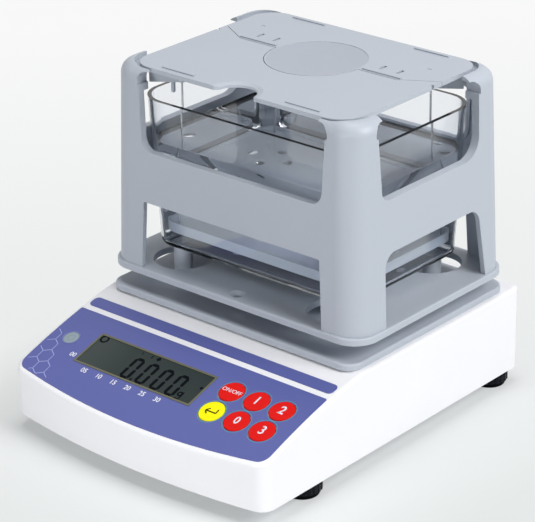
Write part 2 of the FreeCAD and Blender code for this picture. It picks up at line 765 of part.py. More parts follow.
def upper_side():
    """Upper opening seen from the side: small front corner, large rear corner."""
    sill = SILL + SIDE_RISE
    fore = SIDE_FRONT - SIDE_LEAN
    cut = ARCH_R + ARCH_TAIL - STEP
    return [
        (SIDE_FRONT, sill, SIDE_R0),
        (SIDE_REAR, sill, SIDE_R1),
        (SIDE_REAR, STEP_Z, 0),
        (SIDE_REAR + STEP, STEP_Z, 0),
        (SIDE_REAR + STEP, ARCH_Z, ARCH_R),
        (SIDE_REAR - cut, ARCH_Z, 0),
        (SIDE_REAR - cut, WALL_TOP + 10, 0),
        (fore + cut, WALL_TOP + 10, 0),
        (fore + cut, ARCH_Z, 0),
        (fore - STEP, ARCH_Z, ARCH_R),
        (fore - STEP, STEP_Z, 0),
        (fore, STEP_Z, 0)]


def flange_front():
    """Outline of the return flange round the front opening."""
    t = LIP_T
    return mirrored([(WIN_X + t, SILL - t, WIN_R + t), (WIN_X + WIN_LEAN + t, STEP_Z, 0)])


def flange_side():
    t = LIP_T
    sill = SILL + SIDE_RISE - t
    return [
        (SIDE_FRONT - t, sill, SIDE_R0 + t),
        (SIDE_REAR + t, sill, SIDE_R1 + t),
        (SIDE_REAR + t, STEP_Z, 0),
        (SIDE_FRONT - SIDE_LEAN - t, STEP_Z, 0)]


def lower_front():
    """Lower opening seen from the front, wider at the plate."""
    wide = LOW_X + LOW_SPREAD
    return mirrored([(wide, PLATE_TOP - 1, 0), (LOW_X, LOW_TOP, LOW_FRONT_R)])


def lower_side():
    """Lower opening seen from the side: round upper corners, rear jamb leaning out to the plate."""
    top = LOW_TOP + SIDE_RISE
    return [
        (LOW_FRONT, PLATE_TOP - 1, 0),
        (LOW_REAR, PLATE_TOP - 1, 0),
        (LOW_REAR - LOW_LEAN, top, LOW_R),
        (LOW_FRONT, top, LOW_R)]


def wall_a(z):
    """Outside half width of the walls at a height."""
    return WALL_A - WALL_LEAN * (z - PLATE_TOP) / (WALL_TOP - PLATE_TOP)


def frame_walls():
    base = PLATE_TOP
    step = WALL_A - WALL_B
    a1 = wall_a(WALL_TOP)
    outer = loft(WALL_A, WALL_B, PLATE_R, base, a1, a1 - step, PLATE_R, WALL_TOP)
    rim = [e for e in outer.Edges if e.BoundBox.ZMin > WALL_TOP - 0.01]
    outer = outer.makeFillet(DOME_R, rim)
    zs = SHELF_Z - SHELF_H
    inner = wall_a(zs) - WALL_T
    ri = PLATE_R - WALL_T
    void = loft(WALL_A - WALL_T, WALL_B - WALL_T, ri, base, inner, inner - step, ri, zs)
    void = void.fuse([
        slab(TANK_A + TANK_ROOM, TANK_B + TANK_ROOM, TANK_R + TANK_ROOM, zs, SHELF_Z),
        slab(a1 - RIM_X, a1 - step - RIM_Y, PLATE_R, SHELF_Z, WALL_TOP + 5)])
    walls = outer.cut(void)
    core = loft(WALL_A - LIP_X, WALL_B - LIP_Y, ri - 3, base, a1 - LIP_X, a1 - step - LIP_Y, ri - 3, WALL_TOP)
    band = outer.cut(core)
    far = PLATE_A + 20
    walls = walls.fuse([
        band.common(from_front(flange_front(), far)),
        band.common(from_side(flange_side(), far))])
    return walls.cut([
        from_front(upper_front(), far),
        from_side(upper_side(), far),
        from_front(lower_front(), far),
        from_side(lower_side(), far)])


def frame_hub():
    """Boss under the plate that stands on the free end of the load cell."""
    low = CELL_Z + CELL_H
    flange = rod(0, CY, PLATE_Z - HUB_T, PLATE_Z, HUB_R)
    neck = rod(0, CY, low + HUB_FOOT_H, PLATE_Z - HUB_T, HUB_NECK_R)
    foot = rod(0, CY, low + SEAT, low + HUB_FOOT_H, HUB_FOOT_R)
    return flange.fuse([neck, foot]).removeSplitter()


# ================================================================ tank
def lowest(shape):
    """Edges round the underside of a shape."""
    low = shape.BoundBox.ZMin + 0.01
    return [e for e in shape.Edges if e.BoundBox.ZMax < low]


def tank():
    """Clear tank, wider at the rim, its floor rounded into the walls inside and out."""
    outer = loft(TANK_A0, TANK_B0, TANK_R0, TANK_Z, TANK_A, TANK_B, TANK_R, TANK_RIM_Z)
    t = TANK_T
    lift = TANK_FLOOR
    rise = lift / (TANK_RIM_Z - TANK_Z)
    a = TANK_A0 + (TANK_A - TANK_A0) * rise - t
    b = TANK_B0 + (TANK_B - TANK_B0) * rise - t
    r = TANK_R0 + (TANK_R - TANK_R0) * rise - t
    inner = loft(a, b, r, TANK_Z + lift, TANK_A - t, TANK_B - t, TANK_R - t, TANK_RIM_Z)
    outer = outer.makeFillet(TANK_EDGE, lowest(outer))
    inner = inner.makeFillet(TANK_EDGE - t, lowest(inner))
    return outer.cut(inner)


# ================================================================ top tray
def tray_outline():
    """Top tray seen from above, with a round finger notch in the front edge."""
    a = PAN_A - PAN_R
    b = PAN_B - PAN_R
    fore = CY - PAN_B
    z = SHELF_Z
    cy = fore + NOTCH_IN
    y = fore + NOTCH_EDGE
    reach = NOTCH_R + NOTCH_EDGE
    x = math.sqrt(reach ** 2 - (y - cy) ** 2)
    turn = math.degrees(math.asin((y - cy) / reach))
    plate = prism(chain([
        arc((a, CY + b), PAN_R, 0, 90, z),
        arc((-a, CY + b), PAN_R, 90, 180, z),
        arc((-a, CY - b), PAN_R, 180, 270, z),
        arc((-x, y), NOTCH_EDGE, 270, 360 - turn, z),
        arc((0, cy), NOTCH_R, 180 - turn, turn, z),
        arc((x, y), NOTCH_EDGE, 180 + turn, 270, z),
        arc((a, CY - b), PAN_R, 270, 360, z)]), PAN_T)
    low = V(0, cy, z + PAN_T - NOTCH_SINK)
    return plate.cut(Part.makeCone(NOTCH_R, NOTCH_R + NOTCH_SLOPE, NOTCH_SINK, low, V(0, 0, 1)))


def rear_zone(grow):
    """Zone of the rear plate: behind the joint, with the whole round middle."""
    s = SEAM_Y - grow
    near = PAN_A - SEAM_SLANT
    out = PAN_A + 8
    t = s + SEAM_STEP * (out - near) / SEAM_SLANT
    end = t + PAN_B
    z0 = SHELF_Z - 20
    z1 = SHELF_Z + 20
    half = from_above([(near, s, 0), (out, t, 0), (out, end, 0), (-out, end, 0), (-out, t, 0), (-near, s, 0)], z0, z1)
    return half.fuse(rod(0, CY + DISC_Y, z0, z1, DISC_R + grow))


def ridge(x, y, half):
    w = RIDGE_W / 2
    return box(x - half, x + half, CY + y - w, CY + y + w, SHELF_Z + PAN_T, SHELF_Z + PAN_T + RIDGE_H)


def rib(x0, y0, x1, y1):
    """Corner rib under the tray between two plan points."""
    ang = math.degrees(math.atan2(y1 - y0, x1 - x0))
    length = math.hypot(x1 - x0, y1 - y0)
    bar = box(0, length, -RIB_T / 2, RIB_T / 2, RIB_Z, SHELF_Z)
    bar.rotate(V(0, 0, 0), V(0, 0, 1), ang)
    bar.translate(V(x0, y0, 0))
    return bar


def dish_cut():
    """Shallow hollow in the round middle: a small step, a spherical slope and a flat floor."""
    deep = DISH_DEPTH - DISH_STEP + DISH_BOWL
    r = (DISH_R ** 2 + deep ** 2) / (2 * deep)
    top = SHELF_Z + PAN_T
    edge = top - DISH_STEP
    floor = top - DISH_DEPTH
    y = CY + DISC_Y
    bowl = Part.makeSphere(r, V(0, y, edge - deep + r)).common(rod(0, y, floor, edge, DISH_R))
    return bowl.fuse(rod(0, y, edge, top + 1, DISH_R))


def wire_rib(s, side):
    """Corner rib and the boss for the wire, on one side and at the front or rear."""
    x = s * WIRE_X
    y = CY + side * WIRE_Y
    bar = rib(s * (PAN_A - RIB_IN), CY + side * (PAN_B - RIB_END), x, y)
    return bar.fuse(rod(x, y, RIB_Z, SHELF_Z, BOSS_R))


def top_plate_front():
    plate = tray_outline().cut(rear_zone(SEAM_GAP))
    adds = []
    low = RIB_Z - PEG_H
    for s in (-1, 1):
        adds.append(ridge(s * CLIP_X, RIDGE_FRONT - PAN_B, RIDGE_HALF))
        adds.append(wire_rib(s, -1))
        px = s * (WIRE_X + PEG_X)
        py = CY - WIRE_Y - PEG_Y
        adds.append(rod(px, py, low, RIB_Z + 1, PEG_R).fuse(Part.makeSphere(PEG_R, V(px, py, low))))
    plate = plate.fuse(adds)
    y = CY + NICK_Y
    w = NICK_W / 2
    nicks = [box(x - NICK_DEPTH, x + NICK_DEPTH, y - w, y + w, SHELF_Z - 1, SHELF_Z + PAN_T + 1)
             for x in (-PAN_A, PAN_A)]
    return plate.cut(nicks)


def slots_at():
    return [s * (CLIP_X + k * CLIP_PITCH / 2) for s in (-1, 1) for k in (-1, 1)]


def top_plate_rear():
    plate = tray_outline().common(rear_zone(0.0)).cut(dish_cut())
    top = SHELF_Z + PAN_T
    adds = []
    cuts = []
    for s in (-1, 1):
        adds.append(ridge(s * CLIP_X, SEAM_Y + RIDGE_SEAM, RIDGE_LONG))
        adds.append(ridge(s * CLIP_X, PAN_B - RIDGE_REAR, RIDGE_HALF))
        adds.append(wire_rib(s, 1))
        cuts.append(rod(s * DIMPLE_X, CY + DIMPLE_Y, top - DIMPLE_DEPTH, top + 1, DIMPLE_R))
    w = SLOT_W / 2
    for x in slots_at():
        cuts.append(box(x - w, x + w, CY + SLOT_Y, CY + SLOT_Y + SLOT_D, SHELF_Z - 1, top + 1))
    return plate.fuse(adds).cut(cuts)


def tray_clips():
    """Two clips under the joint: a strap below both plates, with tongues up into the slots."""
    out = []
    y1 = CY + SLOT_Y + SLOT_D
    w = SLOT_W / 2 - TONGUE_GAP
    half = CLIP_PITCH / 2 + 2
    for s in (-1, 1):
        x0 = s * CLIP_X
        strap = box(x0 - half, x0 + half, CY - 6, y1 + 3.5, SHELF_Z - CLIP_T, SHELF_Z)
        tongues = []
        for x in slots_at():
            if x * s > 0:
                tongues.append(box(x - w, x + w, y1 - TONGUE_D, y1 - TONGUE_GAP, SHELF_Z, SHELF_Z + TONGUE_H))
        out.append(strap.fuse(tongues))
    return group(out)


def wire_points():
    return [(s * WIRE_X, CY + y) for s in (-1, 1) for y in (-WIRE_Y, WIRE_Y)]


def hanger_wires():
    z0 = SINK_Z + SINK_T
    return group([rod(x, y, z0, RIB_Z, WIRE_R) for x, y in wire_points()])


def hanging_dish():
    """Shallow dish under water, with two groups of drain holes."""
    half = WIRE_Y + SINK_EDGE
    t = SINK_T
    dish = slab(SINK_A, half, SINK_R, SINK_Z, SINK_Z + SINK_RIM)
    dish = dish.cut(slab(SINK_A - t, half - t, SINK_R - t, SINK_Z + t, SINK_Z + SINK_RIM + 1))
    reach = ((-SINK_HOLE_X, 0), (SINK_HOLE_X, 0), (0, -SINK_HOLE_Y), (0, SINK_HOLE_Y))
    holes = [rod(s * SINK_X + dx, CY + SINK_Y + dy, SINK_Z - 1, SINK_Z + t + 1, SINK_HOLE_R)
             for s in (-1, 1) for dx, dy in reach]
    studs = [rod(x, y, SINK_Z, SINK_Z + t, 2.4) for x, y in wire_points()]
    return dish.cut(holes).fuse(studs)


# ================================================================ feet
def foot_pad(x, y):
    pad = rod(x, y, 0, PAD_H, PAD_R)
    return pad.makeFillet(0.6, [e for e in pad.Edges if e.BoundBox.ZMax < 0.01])


def foot_wheel(x, y):
    wheel = rod(x, y, PAD_H, PAD_H + WHEEL_H, WHEEL_R)
    grips = []
    for i in range(20):
        t = 2 * math.pi * i / 20
        gx = x + (WHEEL_R + 0.5) * math.cos(t)
        gy = y + (WHEEL_R + 0.5) * math.sin(t)
        grips.append(rod(gx, gy, PAD_H - 1, PAD_H + WHEEL_H + 1, 1.1))
    wheel = wheel.cut(grips)
    return wheel.cut(rod(x, y, PAD_H - 1, PAD_H + WHEEL_H + 1, STUD_R))


def foot_stud(x, y):
    return rod(x, y, PAD_H, STUD_TOP, STUD_R)


# ================================================================ output
save(upper_housing(), "upper_housing")
save(bottom_cover(), "bottom_cover")
save(housing_screws(), "housing_screws")
save(foot_nuts(), "foot_nuts")
save(panel_film(), "panel_film")
save(strip_film(), "strip_film")
save(lcd_bezel(), "display_bezel")
save(lcd_window(), "display_window")
save(lcd_module(), "display_module")
save(key_board(), "key_board")
save(tact_switches(), "key_switches")
save(vial_cup(), "level_cup")
save(vial_fluid(), "level_fluid")
save(vial_lens(), "level_lens")
save(main_board(), "main_board")
save(board_parts(), "board_parts")
save(dc_jack(), "power_jack")
save(load_cell(), "load_cell")
save(cell_mount(), "cell_mount")
save(overload_stop(), "overload_stop")
save(fixed_tray(), "fixed_tray")
save(tank_posts(), "tank_posts")
save(frame_plate(), "frame_plate")
save(frame_walls(), "frame_walls")
save(frame_hub(), "frame_hub")
save(tank(), "tank")
save(top_plate_front(), "top_plate_front")
save(top_plate_rear(), "top_plate_rear")
save(tray_clips(), "tray_clips")
save(hanger_wires(), "hanger_wires")
save(hanging_dish(), "hanging_dish")
for i, (kx, ky) in enumerate(keys()):
    save(key_cap(kx, ky), "key_%d" % (i + 1))
for tag, (fx, fy) in FEET.items():
    save(foot_pad(fx, fy), "foot_pad_" + tag)
    save(foot_wheel(fx, fy), "foot_wheel_" + tag)
    save(foot_stud(fx, fy), "foot_stud_" + tag)
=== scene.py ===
# %% [markdown]
# # A benchtop density meter
#
# The meter weighs a sample twice: in air on its top tray, and in water in a dish that hangs inside
# a clear tank. Its solid parts are already there, as a fixed frame of named nodes. This script
# dresses them: finishes for every part, the water, the print on the panel, the display and the
# threads of the feet. Then come the camera, the floor and the lamps.
#
# Everything is in metres. X runs to the user's right, Y away from the user and Z up.

# %% Loading the solid parts
import math

import bmesh
import bpy
from mathutils import Matrix, Vector


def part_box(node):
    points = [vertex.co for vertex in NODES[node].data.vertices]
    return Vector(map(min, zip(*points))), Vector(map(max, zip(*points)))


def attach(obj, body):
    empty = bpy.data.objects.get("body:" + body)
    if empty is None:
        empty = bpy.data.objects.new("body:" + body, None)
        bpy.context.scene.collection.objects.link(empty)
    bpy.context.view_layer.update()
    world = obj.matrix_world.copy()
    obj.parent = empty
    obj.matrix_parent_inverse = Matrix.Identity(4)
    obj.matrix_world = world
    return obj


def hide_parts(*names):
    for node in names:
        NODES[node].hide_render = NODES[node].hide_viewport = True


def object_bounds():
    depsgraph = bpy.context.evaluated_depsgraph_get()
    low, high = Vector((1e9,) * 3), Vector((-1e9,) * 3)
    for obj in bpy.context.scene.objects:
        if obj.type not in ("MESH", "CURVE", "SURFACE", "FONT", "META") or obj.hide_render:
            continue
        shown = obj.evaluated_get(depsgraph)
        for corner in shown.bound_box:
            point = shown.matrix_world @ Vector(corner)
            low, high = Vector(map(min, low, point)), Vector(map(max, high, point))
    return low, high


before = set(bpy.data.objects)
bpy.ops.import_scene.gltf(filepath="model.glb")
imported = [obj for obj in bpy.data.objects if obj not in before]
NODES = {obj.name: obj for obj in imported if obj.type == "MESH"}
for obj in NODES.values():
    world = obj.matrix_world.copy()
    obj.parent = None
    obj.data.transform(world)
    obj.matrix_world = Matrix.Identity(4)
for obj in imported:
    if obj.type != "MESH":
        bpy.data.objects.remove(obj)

CAD_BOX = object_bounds()
MM = 0.001

# %% [markdown]
# ## Helpers for node trees
#
# Shaders and Geometry Nodes are both trees of nodes. `add` makes one node, gives it its settings
# and fills its sockets: a value is typed into the socket, and another node, or one of its outputs,
# is linked to it. Colours are written as sRGB hex, the way a colour picker shows them, and a
# shader wants them linear, so `linear` turns one into the other.

# %% Helpers
def linear(code):
    """An sRGB hex colour as the linear RGBA that a socket takes."""
    parts = [int(code[i:i + 2], 16) / 255 for i in (1, 3, 5)]
    return [c / 12.92 if c <= 0.04045 else ((c + 0.055) / 1.055) ** 2.4 for c in parts] + [1.0]


def add(tree, kind, settings=None, **sockets):
    """One node with its settings and links.

    settings is a dict, or just the name of a math node's operation. A socket is named with _ for
    a space, or i3 for the fourth input. A node as a value stands for its first output.
    """
    node = tree.nodes.new(kind)
    if isinstance(settings, str):
        settings = {"operation": settings}
    for key, value in (settings or {}).items():
        setattr(node, key, value)
    for key, value in sockets.items():
        socket = node.inputs[int(key[1:])] if key[1:].isdigit() else node.inputs[key.replace("_", " ")]
        if isinstance(value, bpy.types.Node):
            value = value.outputs[0]
        if isinstance(value, bpy.types.NodeSocket):
            tree.links.new(value, socket)
        else:
            socket.default_value = value
    return node


def shader_tree(name):
    """An empty material and its tree."""
    material = bpy.data.materials.new(name)
    material.use_nodes = True
    material.node_tree.nodes.clear()
    return material, material.node_tree


print("middle grey as a shader wants it:", round(linear("#808080")[0], 3))

# %% [markdown]
# ## Moulded plastic, the main finish
#
# Nearly all of a balance's shell is injection-moulded ABS. The mould is spark-eroded, so the skin
# has a fine, even grain that breaks up the highlight, and the colour drifts by a percent or two
# where the melt flowed. One plain colour would look like paper, and an image texture would stretch
# over the curves. So one noise gives the drift and a finer one the grain, both sized in real
# millimetres on Object coordinates, where they neither slide nor stretch. Real grain is a tenth of
# a millimetre wide. It wouldn't show from so far away, so it is drawn at about half a millimetre.
#
# Silicone, film, ink and metal are dense skins too. They follow the same recipe with other sizes.

# %% Recipe of a dense skin
CLOUD = 45 * MM
GLOSS_SPREAD = 0.05


def moulded(name, colour, rough, grain=0.5, depth=0.012, drift=0.02, stretch=(1, 1, 1), **sockets):
    """A dense skin. grain and depth are in mm, drift is the share by which the colour wanders."""
    material, tree = shader_tree(name)
    place = add(tree, "ShaderNodeTexCoord").outputs["Object"]
    if stretch != (1, 1, 1):
        place = add(tree, "ShaderNodeMapping", Vector=place, Scale=stretch)
    cloud = add(tree, "ShaderNodeTexNoise", Vector=place, Scale=1 / CLOUD, Detail=2.0)
    pits = add(tree, "ShaderNodeTexNoise", Vector=place, Scale=1 / (grain * MM), Detail=2.0)
    base = linear(colour)
    dark = [c * (1 - drift) for c in base[:3]] + [1.0]
    light = [min(1.0, c * (1 + drift)) for c in base[:3]] + [1.0]
    tone = add(tree, "ShaderNodeMix", {"data_type": "RGBA"}, i0=cloud, i6=dark, i7=light)
    gloss = add(tree, "ShaderNodeMapRange", i0=pits, i3=rough - GLOSS_SPREAD, i4=rough + GLOSS_SPREAD)
    bump = add(tree, "ShaderNodeBump", Height=pits, Distance=depth * MM, Strength=0.6)
    shader = add(tree, "ShaderNodeBsdfPrincipled", Base_Color=tone.outputs[2], Roughness=gloss,
                 Normal=bump, **sockets)
    add(tree, "ShaderNodeOutputMaterial", Surface=shader)
    return material


print("colour drifts over", round(CLOUD / MM), "mm")

# %% [markdown]
# ## Shell, frame and trays
#
# The housing is white ABS. The weighing frame, the trays and the dish are a cool grey one with a
# coarser grain, which makes it look a little drier. The rear plate of the top tray has a grey of
# its own, because its round hollow gets painted shade further on: a darker tone in its colour.

# %% Shell, frame and tray finishes
# White ABS: clean, with a wide and soft highlight.
shell_white = moulded("moulded_white_abs", "#F7F7FA", 0.42, IOR=1.53)
# Grey ABS: cool, and a step drier than the shell.
frame_grey = moulded("moulded_grey_abs", "#B9C0CA", 0.44, grain=0.7, depth=0.016, IOR=1.53)
# The same grey for the rear plate of the top tray, which gets painted shade in its round hollow below.
painted_shade_disc_grey = moulded("moulded_grey_abs_disc", "#B9C0CA", 0.44, grain=0.7, depth=0.016, IOR=1.53)
print("plastics:", [finish.name for finish in (shell_white, frame_grey, painted_shade_disc_grey)])

# %% [markdown]
# ## Film and inks
#
# The blue of the panel is a printed polyester film, so its colour is even and its grain hardly
# shows. The inks on it are flat colours, each a thin layer that is a little duller than the film.

# %% Film and ink finishes
# Polyester film: an even blue, smooth to the touch.
film_blue = moulded("printed_polyester_film", "#565EA0", 0.42, grain=0.25, depth=0.004, drift=0.012,
                    IOR=1.45)
# Screen inks: flat and without a shine.
ink_white = moulded("white_screen_ink", "#E9EAF6", 0.5, grain=0.2, depth=0.003, IOR=1.5)
ink_lilac = moulded("lilac_screen_ink", "#A3A9DB", 0.5, grain=0.2, depth=0.003, IOR=1.5)
ink_teal = moulded("teal_screen_ink", "#4F8FA6", 0.5, grain=0.2, depth=0.003, IOR=1.5)
print("panel:", [finish.name for finish in (film_blue, ink_white, ink_lilac, ink_teal)])

# %% [markdown]
# ## Keys, feet and small parts
#
# The keys are silicone, which is soft and only sheens, so its colour stays deep. The pads of the
# feet are rubber. Thumb wheels, switches and the power jack are nylon, which is harder and
# smoother, so it catches small highlights. A low index of refraction takes the grey veil off a
# black, which would otherwise mirror the pale room. The cup of the level vial is a dull blue.

# %% Key, foot and vial finishes
# Silicone keys: saturated, with a wide and weak sheen.
key_red = moulded("red_silicone_key", "#DD0A03", 0.62, grain=0.3, depth=0.006, IOR=1.3)
key_yellow = moulded("yellow_silicone_key", "#FFF500", 0.62, grain=0.3, depth=0.006, IOR=1.3)
# Rubber: black and without a highlight.
rubber = moulded("black_rubber", "#030508", 0.7, grain=0.4, depth=0.02, IOR=1.15)
# Nylon: black with small, narrow highlights.
nylon_black = moulded("black_nylon", "#050B14", 0.28, grain=0.5, depth=0.008, IOR=1.25)
# Cup of the vial: a dull blue, close to that of the film.
vial_blue = moulded("vial_cup", "#6C75AC", 0.45, grain=0.4, depth=0.008, IOR=1.45)
print("keys and feet:", [finish.name for finish in (key_red, key_yellow, rubber, nylon_black, vial_blue)])

# %% [markdown]
# ## The display
#
# A reflective liquid crystal display is a sandwich of glass and polariser: a dull green-grey field
# behind a hard window, on which the dark segments seem to float. Real glass in front of the field
# would cost much time to render. A thin clear coat over a dull base gives nearly the same look.
# The border is a thin olive frame.

# %% Display finishes
# Polariser under its window: green-grey, with a faint veil of reflection.
lcd_field = moulded("lcd_polariser", "#2D3836", 0.5, grain=0.3, depth=0.002, drift=0.06, IOR=1.3,
                    Coat_Weight=0.25, Coat_Roughness=0.3)
# Segments: as dark as they can be.
lcd_ink = moulded("lcd_segment", "#04080E", 0.6, grain=0.3, depth=0.002, IOR=1.12)
# Ring on the level vial: a fine grey line.
ring_ink = moulded("level_mark", "#6A7881", 0.5, grain=0.3, depth=0.002, IOR=1.4)
# Border: a dull olive.
border_olive = moulded("olive_border", "#605F49", 0.45, grain=0.3, depth=0.004, IOR=1.5)
print("display:", [finish.name for finish in (lcd_field, lcd_ink, ring_ink, border_olive)])

# %% [markdown]
# ## Metals
#
# A metal has no colour under its shine, so its base colour is the tint of its reflection. Drawn
# wire and machined bar both keep fine scratches along one direction. Scratches could be cut as
# fine grooves, but the same noise, stretched along that direction, breaks up a reflection in the
# same way. Plating has no direction, only a cloudy tone. The load cell is milled aluminium, its
# mount zinc-plated steel, the feet are plated screws and the hangers stainless wire.

# %% Metal finishes
# Drawn wire, which hangs upright: bright, with scratches along Z.
steel_wire = moulded("drawn_stainless_wire", "#C9CBCD", 0.24, grain=0.25, depth=0.004,
                     stretch=(1, 1, 0.05), Metallic=1.0)
# Milled bar, which lies along X: satin, with scratches along X.
aluminium = moulded("milled_aluminium", "#D5D7D9", 0.34, grain=0.35, depth=0.006,
                    stretch=(0.06, 1, 1), Metallic=1.0)
# Zinc plating: grey and cloudy.
zinc = moulded("zinc_plated_steel", "#B9BCC0", 0.36, grain=0.8, depth=0.005, drift=0.08, Metallic=1.0)
# Turned brass: warm and fairly bright.
brass = moulded("brass_nut", "#C9A45C", 0.32, grain=0.4, depth=0.004, Metallic=1.0)
print("metals:", [finish.name for finish in (steel_wire, aluminium, zinc, brass)])

# %% [markdown]
# ## Clear things: tank, water and lens
#
# The tank is moulded acrylic with an index of refraction of 1.49, and water has 1.333. Both bend
# what lies behind them, and that is what makes a full tank look full. A thin see-through skin
# wouldn't bend anything, so both are shapes with a real thickness. A faint ripple of tens of
# millimetres stands for the slightly uneven walls of a moulding. The lens of the level vial is
# frosted, so it is only pale.

# %% Clear finishes
RIPPLE_SIZE = 22 * MM


def clear(name, tint, ior, shade, ripple=0.0):
    """A transparent solid. ripple is the depth in mm of its slow unevenness.

    A lamp's light seldom finds its way through two bent surfaces, so a shadow ray passes straight,
    and each surface takes away the share that shade leaves out.
    """
    material, tree = shader_tree(name)
    shader = add(tree, "ShaderNodeBsdfPrincipled", Base_Color=linear(tint), Roughness=0.0, IOR=ior,
                 Transmission_Weight=1.0)
    if ripple:
        place = add(tree, "ShaderNodeTexCoord").outputs["Object"]
        wave = add(tree, "ShaderNodeTexNoise", Vector=place, Scale=1 / RIPPLE_SIZE, Detail=1.0)
        bump = add(tree, "ShaderNodeBump", Height=wave, Distance=ripple * MM, Strength=1.0)
        tree.links.new(bump.outputs[0], shader.inputs["Normal"])
    straight = add(tree, "ShaderNodeBsdfTransparent", Color=linear(shade))
    shadow = add(tree, "ShaderNodeLightPath").outputs["Is Shadow Ray"]
    mixed = add(tree, "ShaderNodeMixShader", i0=shadow, i1=shader, i2=straight)
    add(tree, "ShaderNodeOutputMaterial", Surface=mixed)
    return material


# Acrylic: clear, with bright edges and a soft bend in what lies behind.
acrylic = clear("clear_acrylic", "#F9FBFE", 1.49, "#F3F5F7", ripple=0.25)
# Water: the same clearness, and a calmer bend.
water_clear = clear("water", "#F9FBFE", 1.333, "#F3F5F7", ripple=0.12)
# Spirit of the vial: faintly green.
spirit = clear("vial_spirit", "#DCE8D6", 1.36, "#E6EEE2")
# Frosted lens: pale, because its rough face scatters the light.
frosted = moulded("frosted_vial_lens", "#8C9BA4", 0.35, grain=0.6, depth=0.004, drift=0.12, IOR=1.5)
print("clear:", [finish.name for finish in (acrylic, water_clear, spirit, frosted)])

# %% [markdown]
# ## Parts that stay inside
#
# A circuit board is woven glass under green solder mask. Its weave shows as a fine square grid,
# and a coarser one stands for the copper tracks. Real tracks would be hundreds of thin meshes that
# nobody sees inside the housing, so two brick patterns in the material are enough.

# %% Circuit board finish
WEAVE = 0.8 * MM
TRACK = 9 * MM


def circuit_board():
    """Solder mask over copper: two square grids, the finer one only in the surface."""
    material, tree = shader_tree("green_circuit_board")
    place = add(tree, "ShaderNodeTexCoord").outputs["Object"]
    weave = add(tree, "ShaderNodeTexBrick", Vector=place, Scale=1 / WEAVE, Mortar_Size=0.06)
    tracks = add(tree, "ShaderNodeTexBrick", Vector=place, Scale=1 / TRACK, Mortar_Size=0.05,
                 Color1=linear("#0E5A34"), Color2=linear("#0C5230"), Mortar=linear("#2C8352"))
    bump = add(tree, "ShaderNodeBump", Height=weave.outputs[1], Distance=0.02 * MM, Strength=0.5)
    shader = add(tree, "ShaderNodeBsdfPrincipled", Base_Color=tracks, Roughness=0.35, Normal=bump,
                 IOR=1.55)
    add(tree, "ShaderNodeOutputMaterial", Surface=shader)
    return material


board_green = circuit_board()
print("inside:", board_green.name)

# %% [markdown]
# ## Giving each solid its finish
#
# The solids keep their meshes. Only the material in their first slot changes.

# %% Dressing the solids
FEET = ["fl", "fr", "rl", "rr"]
FINISHES = {
    shell_white: ["upper_housing"],
    vial_blue: ["level_cup"],
    frame_grey: ["fixed_tray", "tank_posts", "frame_plate", "frame_walls", "frame_hub", "bottom_cover",
                 "top_plate_front", "tray_clips", "hanging_dish"],
    painted_shade_disc_grey: ["top_plate_rear"],
    film_blue: ["panel_film", "strip_film"],
    border_olive: ["display_bezel"],
    lcd_field: ["display_window", "display_module"],
    board_green: ["key_board", "main_board"],
    spirit: ["level_fluid"],
    acrylic: ["tank"],
    frosted: ["level_lens"],
    aluminium: ["load_cell"],
    brass: ["foot_nuts"],
    steel_wire: ["hanger_wires"],
    key_red: ["key_1", "key_2", "key_3", "key_5", "key_6"],
    key_yellow: ["key_4"],
    rubber: ["foot_pad_" + foot for foot in FEET],
    nylon_black: ["key_switches", "board_parts", "power_jack"] + ["foot_wheel_" + foot for foot in FEET],
    zinc: ["cell_mount", "overload_stop", "housing_screws"] + ["foot_stud_" + foot for foot in FEET],
}
for finish, names in FINISHES.items():
    for name in names:
        NODES[name].data.materials.clear()
        NODES[name].data.materials.append(finish)
print("dressed:", sum(len(names) for names in FINISHES.values()), "of", len(NODES))

# %% [markdown]
# ## The round hollow
#
# The round hollow of the top tray is shallow, and the lamps alone hardly show it. So its grey is
# multiplied by a slightly darker colour inside the hollow: painted shade. An image texture could
# show that, but a distance worked out by nodes stays sharp at any size: how far a point lies from
# the hollow's axis picks the tone, and the change takes half a millimetre. `toned` multiplies the
# tone that a finish has already by a colour, as far as a mask says.

# %% Round hollow
def toned(material, mask, colour):
    """Multiply a finish by a colour where mask is 1."""
    tree = material.node_tree
    tone = [node for node in tree.nodes if node.bl_idname == "ShaderNodeMix"][0]
    skin = [node for node in tree.nodes if node.bl_idname == "ShaderNodeBsdfPrincipled"][0]
    product = add(tree, "ShaderNodeMix", {"data_type": "RGBA", "blend_type": "MULTIPLY"}, i0=mask,
                  i6=tone.outputs[2], i7=linear(colour))
    tree.links.new(product.outputs[2], skin.inputs["Base Color"])


HOLLOW_AT = (0.0, 48.0 * MM, 0.0)
HOLLOW_R = 29.3 * MM
HOLLOW_EDGE = 0.5 * MM
tree = painted_shade_disc_grey.node_tree
spot = add(tree, "ShaderNodeTexCoord").outputs["Object"]
flat = add(tree, "ShaderNodeVectorMath", "MULTIPLY", i0=spot, i1=(1, 1, 0))
reach = add(tree, "ShaderNodeVectorMath", "DISTANCE", i0=flat, i1=HOLLOW_AT).outputs["Value"]
inside = add(tree, "ShaderNodeMapRange", i0=reach, i1=HOLLOW_R, i2=HOLLOW_R - HOLLOW_EDGE)
# Painted shade: inside the hollow the grey is multiplied by a slightly darker colour.
toned(painted_shade_disc_grey, inside, "#EFEFF1")
print("round hollow:", round(HOLLOW_R / MM, 1), "mm in radius")

# %% [markdown]
# ## Painted shade on the display
#
# The display is palest at its left end and darkens to the right, as a reflective display does when
# the light comes from one side. That darkening is painted shade in its colour. Its finish gets the
# same helper, with X as the mask.

